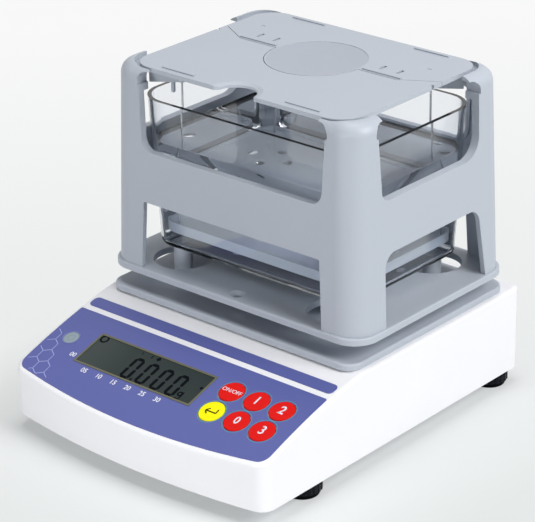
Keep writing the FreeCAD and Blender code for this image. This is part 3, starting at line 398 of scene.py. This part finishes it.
# %% Tone of the display
LCD_PALE_X = -64 * MM
LCD_DARK_X = -34 * MM
tree = lcd_field.node_tree
spot = add(tree, "ShaderNodeTexCoord").outputs["Object"]
along = add(tree, "ShaderNodeSeparateXYZ", i0=spot)
shaded = add(tree, "ShaderNodeMapRange", i0=along, i1=LCD_PALE_X, i2=LCD_DARK_X)
# Painted shade: the field is multiplied by a darker colour towards its right end.
toned(lcd_field, shaded, "#629396")
print("display darkens over", round((LCD_DARK_X - LCD_PALE_X) / MM), "mm")

# %% [markdown]
# ## The shape of the sloping panel
#
# All the print lies on the panel, which isn't flat: it bows over a radius of 461 mm round an axis
# that runs across the meter. The numbers are those of the solid housing: a flat top that ends, a
# tight bend of 11 degrees, and then the wide bow. From them follows the height of the panel at any
# distance from the user.

# %% The panel's surface
FLAT_END = -24.0 * MM               # Y at which the flat top ends
TOP_Z = 61.5 * MM                   # height of that top
BEND_R = 37.0 * MM                  # radius of the tight bend
FIRST_SLOPE = math.radians(11.0)    # slope at the end of the bend
PANEL_R = 461.0 * MM                # radius of the wide bow
AXIS_Y = FLAT_END - BEND_R * math.sin(FIRST_SLOPE) + PANEL_R * math.sin(FIRST_SLOPE)
AXIS_Z = TOP_Z - BEND_R * (1 - math.cos(FIRST_SLOPE)) - PANEL_R * math.cos(FIRST_SLOPE)
LCD_Y = -81.0 * MM                  # Y at which the flat display touches the bow


def panel_angle(y):
    """Slope of the panel at y, in radians."""
    return math.asin((AXIS_Y - y) / PANEL_R)


print("slope at the display:", round(math.degrees(panel_angle(LCD_Y)), 1), "degrees")

# %% [markdown]
# ## Both ends of a Geometry Nodes tree
#
# Two trees follow: one lays print on the panel and one cuts a thread. Both start from named
# inputs, and both end by making copies real and giving the mesh its finish, so `geometry_tree` and
# `close_tree` make these ends.

# %% Both ends of a tree
def geometry_tree(name, inputs):
    """A tree with a mesh in, a mesh out and named inputs. Returns it and what it is given."""
    tree = bpy.data.node_groups.new(name, "GeometryNodeTree")
    face = tree.interface
    face.new_socket("Geometry", in_out="OUTPUT", socket_type="NodeSocketGeometry")
    face.new_socket("Geometry", in_out="INPUT", socket_type="NodeSocketGeometry")
    for title, kind in inputs.items():
        face.new_socket(title, in_out="INPUT", socket_type="NodeSocket" + kind)
    print(name, "takes", ", ".join(inputs))
    return tree, add(tree, "NodeGroupInput").outputs


def close_tree(tree, shape, finish):
    """The end of a tree: a real mesh with one finish."""
    real = add(tree, "GeometryNodeRealizeInstances", Geometry=shape)
    coated = add(tree, "GeometryNodeSetMaterial", Geometry=real, Material=finish)
    add(tree, "NodeGroupOutput", Geometry=coated)
    return tree


# %% [markdown]
# ## Running a mesh through a tree
#
# A mesh, a text, a lamp or a camera shows only through an object that the scene holds, and
# `in_scene` makes that object. `final_mesh` reads back what an object looks like after its
# modifiers. `run_tree` uses both: it hangs the tree on an object for a moment and keeps the result
# as a plain mesh, so that nothing is left to work out later. An input is set by its socket's
# identifier, because names may repeat.

# %% Objects and final meshes
def in_scene(name, data):
    """A new object for some data, held by the scene."""
    thing = bpy.data.objects.new(name, data)
    bpy.context.scene.collection.objects.link(thing)
    return thing


def final_mesh(thing):
    """An object's mesh after its modifiers, as plain data."""
    graph = bpy.context.evaluated_depsgraph_get()
    return bpy.data.meshes.new_from_object(thing.evaluated_get(graph), depsgraph=graph)


def run_tree(name, mesh, tree, values):
    """Puts a mesh through a tree and returns the result as a plain object."""
    source = in_scene(name + ".source", mesh)
    modifier = source.modifiers.new("tree", "NODES")
    modifier.node_group = tree
    sockets = {s.name: s.identifier for s in tree.interface.items_tree if s.in_out == "INPUT"}
    for key, value in values.items():
        modifier[sockets[key]] = value
    made = final_mesh(source)
    source.modifiers.remove(modifier)
    bpy.data.objects.remove(source)
    made.name = name
    return in_scene(name, made)


# %% [markdown]
# ## Laying print on the panel
#
# Print is easy to draw flat and hard to draw on a bowed surface. So each print is drawn flat,
# at its own X and Y, and one tree thickens it and lays it on the panel: the height comes from
# the circle's equation, z = axis + sqrt(R^2 - (y - axis)^2). A Shrinkwrap modifier could do it
# too, but it needs a fine mesh to fall on. A window or a key is flat, though, so the tree can also
# follow the tangent at a given Y. A switch between the two is the input named Bowed.

# %% The tree that lays print on the panel
MERGE = 0.002 * MM


def panel_arc(tree, y):
    """How far y lies behind the panel's axis, and how high the panel is over that axis there."""
    reach = add(tree, "ShaderNodeMath", "SUBTRACT", i0=y, i1=AXIS_Y)
    square = add(tree, "ShaderNodeMath", "MULTIPLY", i0=reach, i1=reach)
    left = add(tree, "ShaderNodeMath", "SUBTRACT", i0=PANEL_R ** 2, i1=square)
    return reach, add(tree, "ShaderNodeMath", "SQRT", i0=left)


def lay_tree():
    """Flat faces in, a thin closed print on the panel out."""
    tree, given = geometry_tree("lay_on_panel", {"Lift": "Float", "Thickness": "Float",
                                                 "Tangent Y": "Float", "Bowed": "Float",
                                                 "Ink": "Material"})
    # A raised copy with walls, and the flat faces turned over, are a closed print.
    up = add(tree, "ShaderNodeCombineXYZ", Z=given["Thickness"])
    raised = add(tree, "GeometryNodeExtrudeMesh", Mesh=given["Geometry"], Offset=up, Offset_Scale=1.0,
                 Individual=False)
    under = add(tree, "GeometryNodeFlipFaces", Mesh=given["Geometry"])
    both = add(tree, "GeometryNodeJoinGeometry")
    for shape in (raised, under):
        tree.links.new(shape.outputs[0], both.inputs[0])
    closed = add(tree, "GeometryNodeMergeByDistance", Geometry=both, Distance=MERGE)

    # The height over the panel's axis: on the bow, and on the tangent at Tangent Y.
    spot = add(tree, "ShaderNodeSeparateXYZ", i0=add(tree, "GeometryNodeInputPosition")).outputs
    bowed = panel_arc(tree, spot[1])[1]
    reach, foot = panel_arc(tree, given["Tangent Y"])
    forward = add(tree, "ShaderNodeMath", "MULTIPLY", i0=reach, i1=-1.0)
    fall = add(tree, "ShaderNodeMath", "DIVIDE", i0=forward, i1=foot)
    run = add(tree, "ShaderNodeMath", "SUBTRACT", i0=spot[1], i1=given["Tangent Y"])
    drop = add(tree, "ShaderNodeMath", "MULTIPLY", i0=run, i1=fall)
    flat = add(tree, "ShaderNodeMath", "ADD", i0=foot, i1=drop)
    height = add(tree, "ShaderNodeMix", i0=given["Bowed"], i2=flat, i3=bowed)

    # Each point keeps its X and Y and goes to that height, plus its own and the lift.
    panel_z = add(tree, "ShaderNodeMath", "ADD", i0=height, i1=AXIS_Z)
    over_panel = add(tree, "ShaderNodeMath", "ADD", i0=spot[2], i1=given["Lift"])
    level = add(tree, "ShaderNodeMath", "ADD", i0=panel_z, i1=over_panel)
    target = add(tree, "ShaderNodeCombineXYZ", X=spot[0], Y=spot[1], Z=level)
    laid = add(tree, "GeometryNodeSetPosition", Geometry=closed, Position=target)
    return close_tree(tree, laid, given["Ink"])


LAY = lay_tree()

# %% [markdown]
# ## Rings and strokes
#
# Each print is one flat mesh, in which rings, strokes and numerals are gathered. A ring could be a
# curve with a bevel, but a loop of four-cornered faces is flat from the start.

# %% Rings and strokes
def rings(mesh, spots, inner, outer, sides):
    """A flat ring round each spot."""
    for x, y in spots:
        loops = []
        for radius in (inner, outer):
            loops.append([mesh.verts.new((x + radius * math.cos(math.tau * k / sides),
                                          y + radius * math.sin(math.tau * k / sides), 0))
                          for k in range(sides)])
        for k in range(sides):
            n = (k + 1) % sides
            mesh.faces.new((loops[0][k], loops[1][k], loops[1][n], loops[0][n]))


def stroke(mesh, a, b, width):
    """A straight stroke with pointed ends, as a display's segment has."""
    a = Vector(a)
    b = Vector(b)
    along = (b - a).normalized() * width / 2
    side = Vector((-along.y, along.x))
    corners = (a, a + along - side, b - along - side, b, b - along + side, a + along + side)
    mesh.faces.new([mesh.verts.new((p.x, p.y, 0)) for p in corners])


def strokes(mesh, x, y, lines, width):
    """Several strokes, whose ends are given in mm from the spot x, y."""
    for (ax, ay), (bx, by) in lines:
        stroke(mesh, (x + ax * MM, y + ay * MM), (x + bx * MM, y + by * MM), width)


# %% [markdown]
# ## Numerals and words
#
# They come from Blender's own typeface, because it is always at hand. A text object gives its mesh
# in the same way as an object with a modifier. Screen print spreads a little, so the outlines are
# grown by a small share of their size.

# %% Lettering
BOLD = 0.02


def lettering(mesh, words, x, y, size, bold=BOLD):
    """Numerals centred on a spot, from the built-in typeface, grown by a share of their size."""
    curve = bpy.data.curves.new("words", "FONT")
    curve.body = words
    curve.size = size
    curve.offset = bold * size
    curve.align_x = "CENTER"
    curve.align_y = "CENTER"
    text = in_scene("words", curve)
    flat = final_mesh(text)
    flat.transform(Matrix.Translation((x, y, 0)))
    mesh.from_mesh(flat)
    bpy.data.objects.remove(text)
    bpy.data.meshes.remove(flat)


# %% [markdown]
# ## From a flat mesh to a piece of print
#
# A typeface leaves points that nearly coincide, so they are welded first. All faces are turned
# upwards, the tree lays them on the panel, and the print then rides on a body of the meter.

# %% Laying a print
PRINT_T = 0.03 * MM
WELD = 0.012 * MM


def lay_print(name, mesh, ink, body, lift, thickness=PRINT_T, tangent=None):
    """Lays a flat mesh on the panel, or on the flat that touches the panel at tangent."""
    bmesh.ops.remove_doubles(mesh, verts=mesh.verts, dist=WELD)
    flat = bpy.data.meshes.new(name + ".flat")
    for face in mesh.faces:
        if face.normal.z < 0:
            face.normal_flip()
    mesh.to_mesh(flat)
    mesh.free()
    touch = LCD_Y if tangent is None else tangent
    piece = run_tree(name, flat, LAY, {
        "Lift": lift / math.cos(panel_angle(touch)), "Thickness": thickness, "Tangent Y": touch,
        "Bowed": float(tangent is None), "Ink": ink})
    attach(piece, body)
    print(name, "has", len(piece.data.polygons), "faces")


# %% [markdown]
# ## Numerals on the film
#
# A row of small numerals, 00 to 30 in fives, stands below the display and at its left. They are
# screen-printed, so they are real but very thin shapes. An image texture on the film would be
# quicker, but it would blur close up.

# %% Numerals
FILM_T = 0.35 * MM
# Middle of each numeral, in mm.
NUMERALS_AT = [(-67.0, -89.7), (-51.3, -96.8), (-39.8, -96.9), (-28.4, -97.0), (-17.5, -97.0),
               (-6.3, -97.0), (5.0, -97.0)]
NUMERAL_STEP = 5
NUMERAL_SIZE = 4.4 * MM

numerals = bmesh.new()
for count, (x, y) in enumerate(NUMERALS_AT):
    lettering(numerals, "%02d" % (count * NUMERAL_STEP), x * MM, y * MM, NUMERAL_SIZE)
lay_print("panel_numerals", numerals, ink_white, "base", FILM_T)

# %% [markdown]
# ## Lines round the keys
#
# The film has a round opening for each key, and a thin teal line is printed round each opening.

# %% Key outlines
KEY_R = 7.5 * MM
KEY_GAP = 0.35 * MM
KEY_LINE = 0.45 * MM
KEYS = [(x * MM, y * MM) for y in (-74.5, -91.0) for x in (40.5, 58.5, 76.5)]

outlines = bmesh.new()
rings(outlines, KEYS, KEY_R + KEY_GAP, KEY_R + KEY_GAP + KEY_LINE, sides=64)
lay_print("key_outlines", outlines, ink_teal, "base", FILM_T)

# %% [markdown]
# ## Honeycomb
#
# At the left end of the film is a honeycomb of outlines, some of them missing. A cell's place
# follows from its row and column, so only the sides that are printed are listed, and each is one
# stroke between two corners. The last one is only half a side long.

# %% Honeycomb
HEX_R = 5.15 * MM
HEX_AT = Vector((-86.4 * MM, -89.4 * MM))    # middle of the cell in row 0 and column 0
HEX_STEP = Vector((HEX_R * math.sqrt(3) / 2, -1.5 * HEX_R))
# The sides that are printed, by row and column of their cell.
HEX_SIDES = {(-1, 0): (0, 1), (0, 0): (0, 1, 2, 3, 5), (1, 0): range(6), (2, 0): range(6), (1, -1): (2,),
             (2, 1): (3,)}
HEX_LINE = 0.42 * MM
THIN_PRINT = 0.02 * MM


def hex_corner(row, column, k):
    """Corner k of a cell, clockwise from its far corner."""
    middle = HEX_AT + HEX_STEP * row + Vector((HEX_R * math.sqrt(3) * column, 0))
    turn = math.radians(60 * k)
    return middle + Vector((HEX_R * math.sin(turn), HEX_R * math.cos(turn)))


honeycomb = bmesh.new()
for (row, column), sides in HEX_SIDES.items():
    for side in sides:
        stroke(honeycomb, hex_corner(row, column, side), hex_corner(row, column, side + 1), HEX_LINE)
start = hex_corner(2, -1, 2)
stroke(honeycomb, start, start.lerp(hex_corner(2, -1, 3), 0.5), HEX_LINE)
lay_print("film_honeycomb", honeycomb, ink_lilac, "base", FILM_T, THIN_PRINT)

# %% [markdown]
# ## The reading
#
# Each digit is drawn from straight segments with pointed ends, as the electrodes of the display
# are. Letters of a typeface would have round corners, which no such display has. A nought lights
# six of the seven segments, all but the middle one, and the reading is 0.000.

# %% Segments
DIGIT_W = 5.3 * MM
DIGIT_H = 15.0 * MM
SEGMENT = 2.1 * MM
SEGMENT_GAP = 0.03
READING_Y = -83.8 * MM
READING_X = [x * MM for x in (-25.9, -14.65, -3.4, 7.85)]


def nought(mesh, x, y, w, h, width):
    """The six lit segments of a nought."""
    a = w / 2
    b = h / 2
    gap = width * SEGMENT_GAP
    for top in (-1, 1):
        stroke(mesh, (x - a + gap, y + top * b), (x + a - gap, y + top * b), width)
        for side in (-1, 1):
            stroke(mesh, (x + side * a, y + top * gap), (x + side * a, y + top * (b - gap)), width)


segments = bmesh.new()
for x in READING_X:
    nought(segments, x, READING_Y, DIGIT_W, DIGIT_H, SEGMENT)
print("segments:", len(segments.faces))

# %% [markdown]
# ## Unit and signs
#
# The unit is a small g, drawn as a ring with a tail. At the left is a zero mark, also a ring, and a
# few small signs stand above, below and at the right of the reading. They are too small to read,
# so they are plain bars. All of it joins the mesh of the digits, since a display has one layer of
# electrodes.

# %% Unit and signs
# Middle, width and height of each sign, in mm.
SIGNS = [(-20.6, -90.9, 3.0, 3.4), (-16.7, -71.7, 5.0, 4.6), (-21.6, -71.9, 1.2, 2.6),
         (-28.9, -71.7, 1.0, 2.2), (22.4, -79.4, 3.6, 3.6)]
SIGN_FILL = 0.7
UNIT_AT = (14.2 * MM, -88.0 * MM)
UNIT_RING = (0.85 * MM, 1.75 * MM)
# Ends of the strokes of the tail, in mm from the middle of the ring.
UNIT_TAIL = [((1.6, 2.0), (1.6, -3.4)), ((1.9, -3.7), (-1.4, -3.7))]
UNIT_LINE = 0.95 * MM
ZERO_AT = (-58.7 * MM, -72.0 * MM)
ZERO_RING = (1.75 * MM, 2.95 * MM)
SEGMENT_LIFT = 0.15 * MM

for x, y, width, height in SIGNS:
    half = (width - height * SIGN_FILL / 2) / 2
    stroke(segments, ((x - half) * MM, y * MM), ((x + half) * MM, y * MM), height * MM * SIGN_FILL)
rings(segments, [UNIT_AT], *UNIT_RING, sides=32)
strokes(segments, *UNIT_AT, UNIT_TAIL, UNIT_LINE)
rings(segments, [ZERO_AT], *ZERO_RING, sides=40)
lay_print("display_segments", segments, lcd_ink, "base", SEGMENT_LIFT, tangent=LCD_Y)

# %% [markdown]
# ## Legends of the keys
#
# Each legend rides on its own key, so it goes down with it. The first key switches the meter on
# and off. The others have plain numerals, and the yellow one a return arrow made of strokes. The
# words, their size in mm and how bold they are stand in one table.

# %% Key legends
KEY_PROUD = 0.75 * MM
LEGEND_T = 0.04 * MM
LEGENDS = {
    1: ("ON/OFF", 3.7, 0.0),
    2: ("1", 8.0, BOLD),
    3: ("2", 8.0, BOLD),
    5: ("0", 7.0, BOLD),
    6: ("3", 8.0, 0.015),
}
# Ends of the strokes of the arrow, in mm from the middle of its key.
ARROW = [((3.4, 2.2), (3.4, -1.2)), ((3.6, -0.9), (-3.6, -0.9)), ((-3.8, -0.9), (-1.6, -3.0)),
         ((-3.8, -0.9), (-1.6, 1.2))]
ARROW_LINE = 0.8 * MM

for key, (x, y) in enumerate(KEYS, 1):
    legend = bmesh.new()
    if key in LEGENDS:
        words, size, bold = LEGENDS[key]
        lettering(legend, words, x, y, size * MM, bold)
    else:
        strokes(legend, x, y, ARROW, ARROW_LINE)
    ink = ink_white if key in LEGENDS else lcd_ink
    lay_print("key_legend_%d" % key, legend, ink, "key_body_%d" % key, KEY_PROUD, LEGEND_T, y)

# %% [markdown]
# ## Water in the tank
#
# The water is a solid of its own, a hair's breadth inside the tank's walls, so light passes from
# acrylic to water as it should. A fluid simulation would end in the same still shape, so it is
# drawn directly, as a stack of rounded rectangles. Near the wall the surface climbs by almost a
# millimetre: that edge, the meniscus, draws the bright line that makes the surface readable.

# %% Levels of the water
TANK_LOW, TANK_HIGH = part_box("tank")
CENTRE_Y = (TANK_LOW.y + TANK_HIGH.y) / 2
# Half width, half depth and corner radius of the tank, at its foot and at its rim.
TANK_FOOT = (73.9 * MM, 51.6 * MM, 12.0 * MM)
TANK_RIM = (TANK_HIGH.x, TANK_HIGH.y - CENTRE_Y, 20.0 * MM)
TANK_WALL = 2.5 * MM
FLOOR_EDGE = 2.5 * MM
WATER_FLOOR = 90.0 * MM
WATER_TOP = 153.0 * MM
WATER_GAP = 0.06 * MM
EDGE_STEPS = 4
WALL_STEPS = 6
# Rise of the water's edge and the distance from the wall, in mm.
MENISCUS = [(0.8, 0.0), (0.35, 0.6), (0.12, 1.3), (0.0, 2.6)]


def water_size(z):
    """Half width, half depth and corner radius of the water at a height."""
    share = (z - TANK_LOW.z) / (TANK_HIGH.z - TANK_LOW.z)
    outer = [foot + (rim - foot) * share for foot, rim in zip(TANK_FOOT, TANK_RIM)]
    return [size - TANK_WALL - WATER_GAP for size in outer]


def water_levels():
    """Height and distance from the wall of each loop: floor edge, wall and meniscus."""
    foot = WATER_FLOOR + WATER_GAP
    levels = []
    for k in range(EDGE_STEPS + 1):
        turn = math.radians(90 * k / EDGE_STEPS)
        levels.append((foot + FLOOR_EDGE * (1 - math.cos(turn)), FLOOR_EDGE * (1 - math.sin(turn))))
    levels += [(foot + (WATER_TOP - foot) * k / WALL_STEPS, 0.0) for k in range(1, WALL_STEPS)]
    return levels + [(WATER_TOP + rise * MM, inset * MM) for rise, inset in MENISCUS]


print("loops of the water:", len(water_levels()))

# %% [markdown]
# ## The water's mesh
#
# Each level gives one loop of points. Neighbouring loops are joined by four-cornered faces, and a
# face at each end closes the stack. The walls are shaded smooth, and the surface and the bottom
# stay flat.

# %% Water body
CORNER_STEPS = 10


def rounded_loop(mesh, a, b, radius, z):
    """Vertices of a rounded rectangle at a height."""
    loop = []
    for corner in range(4):
        cx = (a - radius) * (1 if corner in (0, 3) else -1)
        cy = CENTRE_Y + (b - radius) * (1 if corner < 2 else -1)
        for k in range(CORNER_STEPS + 1):
            turn = (corner + k / CORNER_STEPS) * math.pi / 2
            loop.append(mesh.verts.new((cx + radius * math.cos(turn), cy + radius * math.sin(turn), z)))
    return loop


def water_body():
    """Rounded floor edge, walls, meniscus and surface as one closed mesh."""
    mesh = bmesh.new()
    loops = []
    for z, inset in water_levels():
        a, b, radius = [size - inset for size in water_size(min(z, WATER_TOP))]
        loops.append(rounded_loop(mesh, a, b, radius, z))
    for low, high in zip(loops, loops[1:]):
        for k in range(len(low)):
            n = (k + 1) % len(low)
            mesh.faces.new((low[k], low[n], high[n], high[k]))
    mesh.faces.new(loops[-1])
    mesh.faces.new(loops[0][::-1])
    data = bpy.data.meshes.new("tank_water")
    mesh.to_mesh(data)
    mesh.free()
    data.materials.append(water_clear)
    for face in data.polygons:
        face.use_smooth = len(face.vertices) == 4
    return in_scene("tank_water", data)


water = water_body()
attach(water, "tank_body")
print("water faces:", len(water.data.polygons))

# %% [markdown]
# ## The level vial
#
# A round vial shows whether the meter stands level. Its lens is frosted, and a fine ring is
# printed on it. The ring is laid by the same tree as the other print, a little lower, because the
# lens lies below the top of the film.

# %% Ring on the lens
VIAL = (-78.5 * MM, -79.3 * MM)
VIAL_RING = (2.05 * MM, 2.2 * MM)
VIAL_DROP = 0.1 * MM
ring_mesh = bmesh.new()
rings(ring_mesh, [VIAL], *VIAL_RING, sides=40)
lay_print("level_ring", ring_mesh, ring_ink, "base", FILM_T - VIAL_DROP, THIN_PRINT, VIAL[1])

# %% [markdown]
# ## Threads of the levelling feet
#
# Each foot turns on an M6 thread. A thread is a cylinder whose radius rises and falls as one goes
# up, and the pattern climbs by one pitch for each turn. A Screw modifier could wind a profile
# round the axis, but its ends then need closing by hand. So the tree starts from a closed cylinder
# with many rings and moves each point in by a triangle wave of height less angle.

# %% Threaded studs
STUD_R = 3.0 * MM
THREAD_DEPTH = 0.5 * MM
THREAD_PITCH = 1.0 * MM
THREAD_SIDES = 24
THREAD_RINGS = 126


def thread_tree():
    """A cylinder turned into a screw thread."""
    tree, given = geometry_tree("screw_thread", {"Radius": "Float", "Depth": "Float", "Pitch": "Float",
                                                 "Length": "Float", "Foot": "Vector",
                                                 "Metal": "Material"})
    bar = add(tree, "GeometryNodeMeshCylinder", Vertices=THREAD_SIDES, Side_Segments=THREAD_RINGS,
              Radius=given["Radius"], Depth=given["Length"])
    spot = add(tree, "ShaderNodeSeparateXYZ", i0=add(tree, "GeometryNodeInputPosition")).outputs
    angle = add(tree, "ShaderNodeMath", "ARCTAN2", i0=spot[1], i1=spot[0])
    turns = add(tree, "ShaderNodeMath", "DIVIDE", i0=angle, i1=math.tau)
    rise = add(tree, "ShaderNodeMath", "DIVIDE", i0=spot[2], i1=given["Pitch"])
    climb = add(tree, "ShaderNodeMath", "SUBTRACT", i0=rise, i1=turns)
    half_wave = add(tree, "ShaderNodeMath", "PINGPONG", i0=climb, i1=0.5)
    wave = add(tree, "ShaderNodeMath", "MULTIPLY", i0=half_wave, i1=2.0)
    cut = add(tree, "ShaderNodeMath", "MULTIPLY", i0=wave, i1=given["Depth"])
    loss = add(tree, "ShaderNodeMath", "DIVIDE", i0=cut, i1=given["Radius"])
    share = add(tree, "ShaderNodeMath", "SUBTRACT", i0=1.0, i1=loss)
    x, y = [add(tree, "ShaderNodeMath", "MULTIPLY", i0=spot[axis], i1=share) for axis in (0, 1)]
    place = add(tree, "ShaderNodeCombineXYZ", X=x, Y=y, Z=spot[2])
    shaped = add(tree, "GeometryNodeSetPosition", Geometry=bar, Position=place)
    moved = add(tree, "GeometryNodeTransform", Geometry=shaped, Translation=given["Foot"])
    return close_tree(tree, moved, given["Metal"])


THREAD = thread_tree()
for foot in FEET:
    low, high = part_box("foot_stud_" + foot)
    stud = run_tree("thread_" + foot, bpy.data.meshes.new("empty"), THREAD, {
        "Radius": STUD_R, "Depth": THREAD_DEPTH, "Pitch": THREAD_PITCH, "Length": high.z - low.z,
        "Foot": (low + high) / 2, "Metal": zinc})
    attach(stud, "foot_screw_" + foot)
    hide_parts("foot_stud_" + foot)
print("threads:", len(FEET))

# %% [markdown]
# ## Camera
#
# A long lens from 1.4 metres away keeps the lines almost parallel. The camera looks down by about
# 24 degrees from the front right corner, and it is rolled by less than a degree. A Track To
# constraint could aim it, but can't roll it, so its three axes are worked out from the angles. The
# lens is shifted a little, so its axis doesn't meet the middle of the frame.

# %% Camera
AZIMUTH = math.radians(40.71)
ELEVATION = math.radians(23.64)
ROLL = math.radians(-0.71)
TARGET = Vector((-15.28 * MM, 38.0 * MM, 82.95 * MM))
DISTANCE = 1399.33 * MM
SENSOR = 36.0                       # width of the sensor, in mm
FRAME_W, FRAME_H = 535, 522         # size of the frame, in pixels
FOCAL_PIXELS = 2387.55              # focal length, in pixels of that frame
AXIS_PIXEL = (287.25, 247.14)       # pixel at which the camera's axis meets the frame

back = Vector((math.sin(AZIMUTH) * math.cos(ELEVATION), -math.cos(AZIMUTH) * math.cos(ELEVATION),
               math.sin(ELEVATION)))
right = Vector((math.cos(AZIMUTH), math.sin(AZIMUTH), 0))
up = back.cross(right)
tilted = right * math.cos(ROLL) + up * math.sin(ROLL)
upright = up * math.cos(ROLL) - right * math.sin(ROLL)
lens = bpy.data.cameras.new("camera")
lens.sensor_width = SENSOR
lens.lens = SENSOR * FOCAL_PIXELS / FRAME_W
lens.shift_x = (FRAME_W / 2 - AXIS_PIXEL[0]) / FRAME_W
lens.shift_y = (AXIS_PIXEL[1] - FRAME_H / 2) / FRAME_W
camera = in_scene("camera", lens)
camera.matrix_world = (Matrix.Translation(TARGET + back * DISTANCE)
                       @ Matrix((tilted, upright, back)).transposed().to_4x4())
bpy.context.scene.camera = camera
print("lens:", round(lens.lens, 1), "mm")

# %% [markdown]
# ## The sky of the studio
#
# The sky is an even pale grey for everything the camera, a mirror or a lens sees, and much dimmer
# as a light. One bright sky for both would light the meter from all sides and take away its
# shades. The Light Path node tells the two apart.

# %% Sky
AMBIENT = 0.11


def light_path(tree):
    """1 for a ray that the eye, a mirror or a lens sends, else 0.

    A ray that has already left a matt surface counts as 0 too: through the tank it would
    otherwise find the bright studio and light the meter from inside.
    """
    path = add(tree, "ShaderNodeLightPath").outputs
    seen = path["Is Camera Ray"]
    for name in ("Is Glossy Ray", "Is Transmission Ray"):
        seen = add(tree, "ShaderNodeMath", "MAXIMUM", i0=seen, i1=path[name])
    direct = add(tree, "ShaderNodeMath", "LESS_THAN", i0=path["Diffuse Depth"], i1=0.5)
    return add(tree, "ShaderNodeMath", "MULTIPLY", i0=seen, i1=direct)


world = bpy.data.worlds.new("studio")
bpy.context.scene.world = world
world.use_nodes = True
tree = world.node_tree
tree.nodes.clear()
dim = add(tree, "ShaderNodeBackground", Color=linear("#F4F6FB"), Strength=AMBIENT)
pale = add(tree, "ShaderNodeBackground", Color=linear("#F7F7F8"), Strength=1.0)
sky = add(tree, "ShaderNodeMixShader", i0=light_path(tree), i1=dim, i2=pale)
add(tree, "ShaderNodeOutputWorld", Surface=sky)
print("ambient light:", AMBIENT)

# %% [markdown]
# ## The floor
#
# A pale floor catches the meter's shadow. As with the sky, away from the meter nearly all that the
# camera sees of it is its own even tone, and close to the meter more of its shadow is left. That
# tone grows paler towards the back. How close a point is follows from how far it lies outside the
# meter's box.

# %% Finish of the floor
FLOOR_CLOUDS = 3.0                  # clouds of tone to the metre
FADE_NEAR, FADE_FAR = -0.5, 1.0     # Y less X, in metres, where the tone starts and stops changing
OPEN_REACH = 80 * MM                # how far from the meter its shadow is stronger
GLOW_CLOSE, GLOW_OPEN = 0.4, 0.95   # share of the floor's own tone, at the meter and away from it

floor_pale, tree = shader_tree("pale_floor")
place = add(tree, "ShaderNodeTexCoord").outputs["Object"]
grain = add(tree, "ShaderNodeTexNoise", Vector=place, Scale=FLOOR_CLOUDS)
tone = add(tree, "ShaderNodeMix", {"data_type": "RGBA"}, i0=grain, i6=linear("#EDEFEF"),
           i7=linear("#F1F2F2"))
matt = add(tree, "ShaderNodeBsdfDiffuse", Color=tone.outputs[2])

axes = add(tree, "ShaderNodeSeparateXYZ", i0=place).outputs
across = add(tree, "ShaderNodeMath", "SUBTRACT", i0=axes[1], i1=axes[0])
away = add(tree, "ShaderNodeMapRange", i0=across, i1=FADE_NEAR, i2=FADE_FAR)
fade = add(tree, "ShaderNodeMix", {"data_type": "RGBA"}, i0=away, i6=linear("#DFE4E3"),
           i7=linear("#FBFBFB"))
glow = add(tree, "ShaderNodeEmission", Color=fade.outputs[2], Strength=1.0)

outside = []
for axis in (0, 1):
    size = add(tree, "ShaderNodeMath", "ABSOLUTE", i0=axes[axis])
    outside.append(add(tree, "ShaderNodeMath", "SUBTRACT", i0=size, i1=CAD_BOX[1][axis]))
reach = add(tree, "ShaderNodeMath", "MAXIMUM", i0=outside[0], i1=outside[1])
open_air = add(tree, "ShaderNodeMapRange", i0=reach, i1=0.0, i2=OPEN_REACH, i3=GLOW_CLOSE, i4=GLOW_OPEN)
share = add(tree, "ShaderNodeMath", "MULTIPLY", i0=light_path(tree), i1=open_air)
mixed = add(tree, "ShaderNodeMixShader", i0=share, i1=matt, i2=glow)
add(tree, "ShaderNodeOutputMaterial", Surface=mixed)
print("floor:", floor_pale.name)

# %% [markdown]
# ## The plane of the floor
#
# One large square is enough: it runs out of sight in all directions. It isn't part of the meter.

# %% Plane of the floor
FLOOR_HALF = 6.0
plane = bpy.data.meshes.new("floor")
corners = [(x * FLOOR_HALF, y * FLOOR_HALF, 0) for x, y in ((-1, -1), (1, -1), (1, 1), (-1, 1))]
plane.from_pydata(corners, [], [(0, 1, 2, 3)])
plane.materials.append(floor_pale)
floor = in_scene("floor", plane)
print("floor:", round(2 * FLOOR_HALF), "m wide")

# %% [markdown]
# ## The lamps
#
# A large soft lamp stands high on the right, so the right side is the brightest. A second one
# hangs overhead, and a small one stands low before the meter, which leaves the front a step
# darker than the side. Area lamps are used because a meter with a glossy display needs soft edges
# on its shadows and highlights. The view transform is Standard, so that a colour renders about as
# it is written.

# %% Lamps
LAMPS_AIM = Vector((0, 0, 0.1))


def lamp(name, place, size, power):
    """A square soft lamp aimed at the middle of the meter."""
    data = bpy.data.lights.new(name, "AREA")
    data.size = size
    data.energy = power
    thing = in_scene(name, data)
    thing.location = place
    thing.rotation_euler = (LAMPS_AIM - thing.location).to_track_quat("-Z", "Y").to_euler()
    print(name, "gives", power, "W")


lamp("key_right", place=(1.43, 0.17, 1.2), size=0.9, power=24.0)
lamp("overhead", place=(-0.1, 0.05, 1.8), size=0.9, power=12.8)
lamp("low_front", place=(0.03, -0.66, 0.155), size=0.3, power=1.38)
bpy.context.scene.view_settings.view_transform = "Standard"
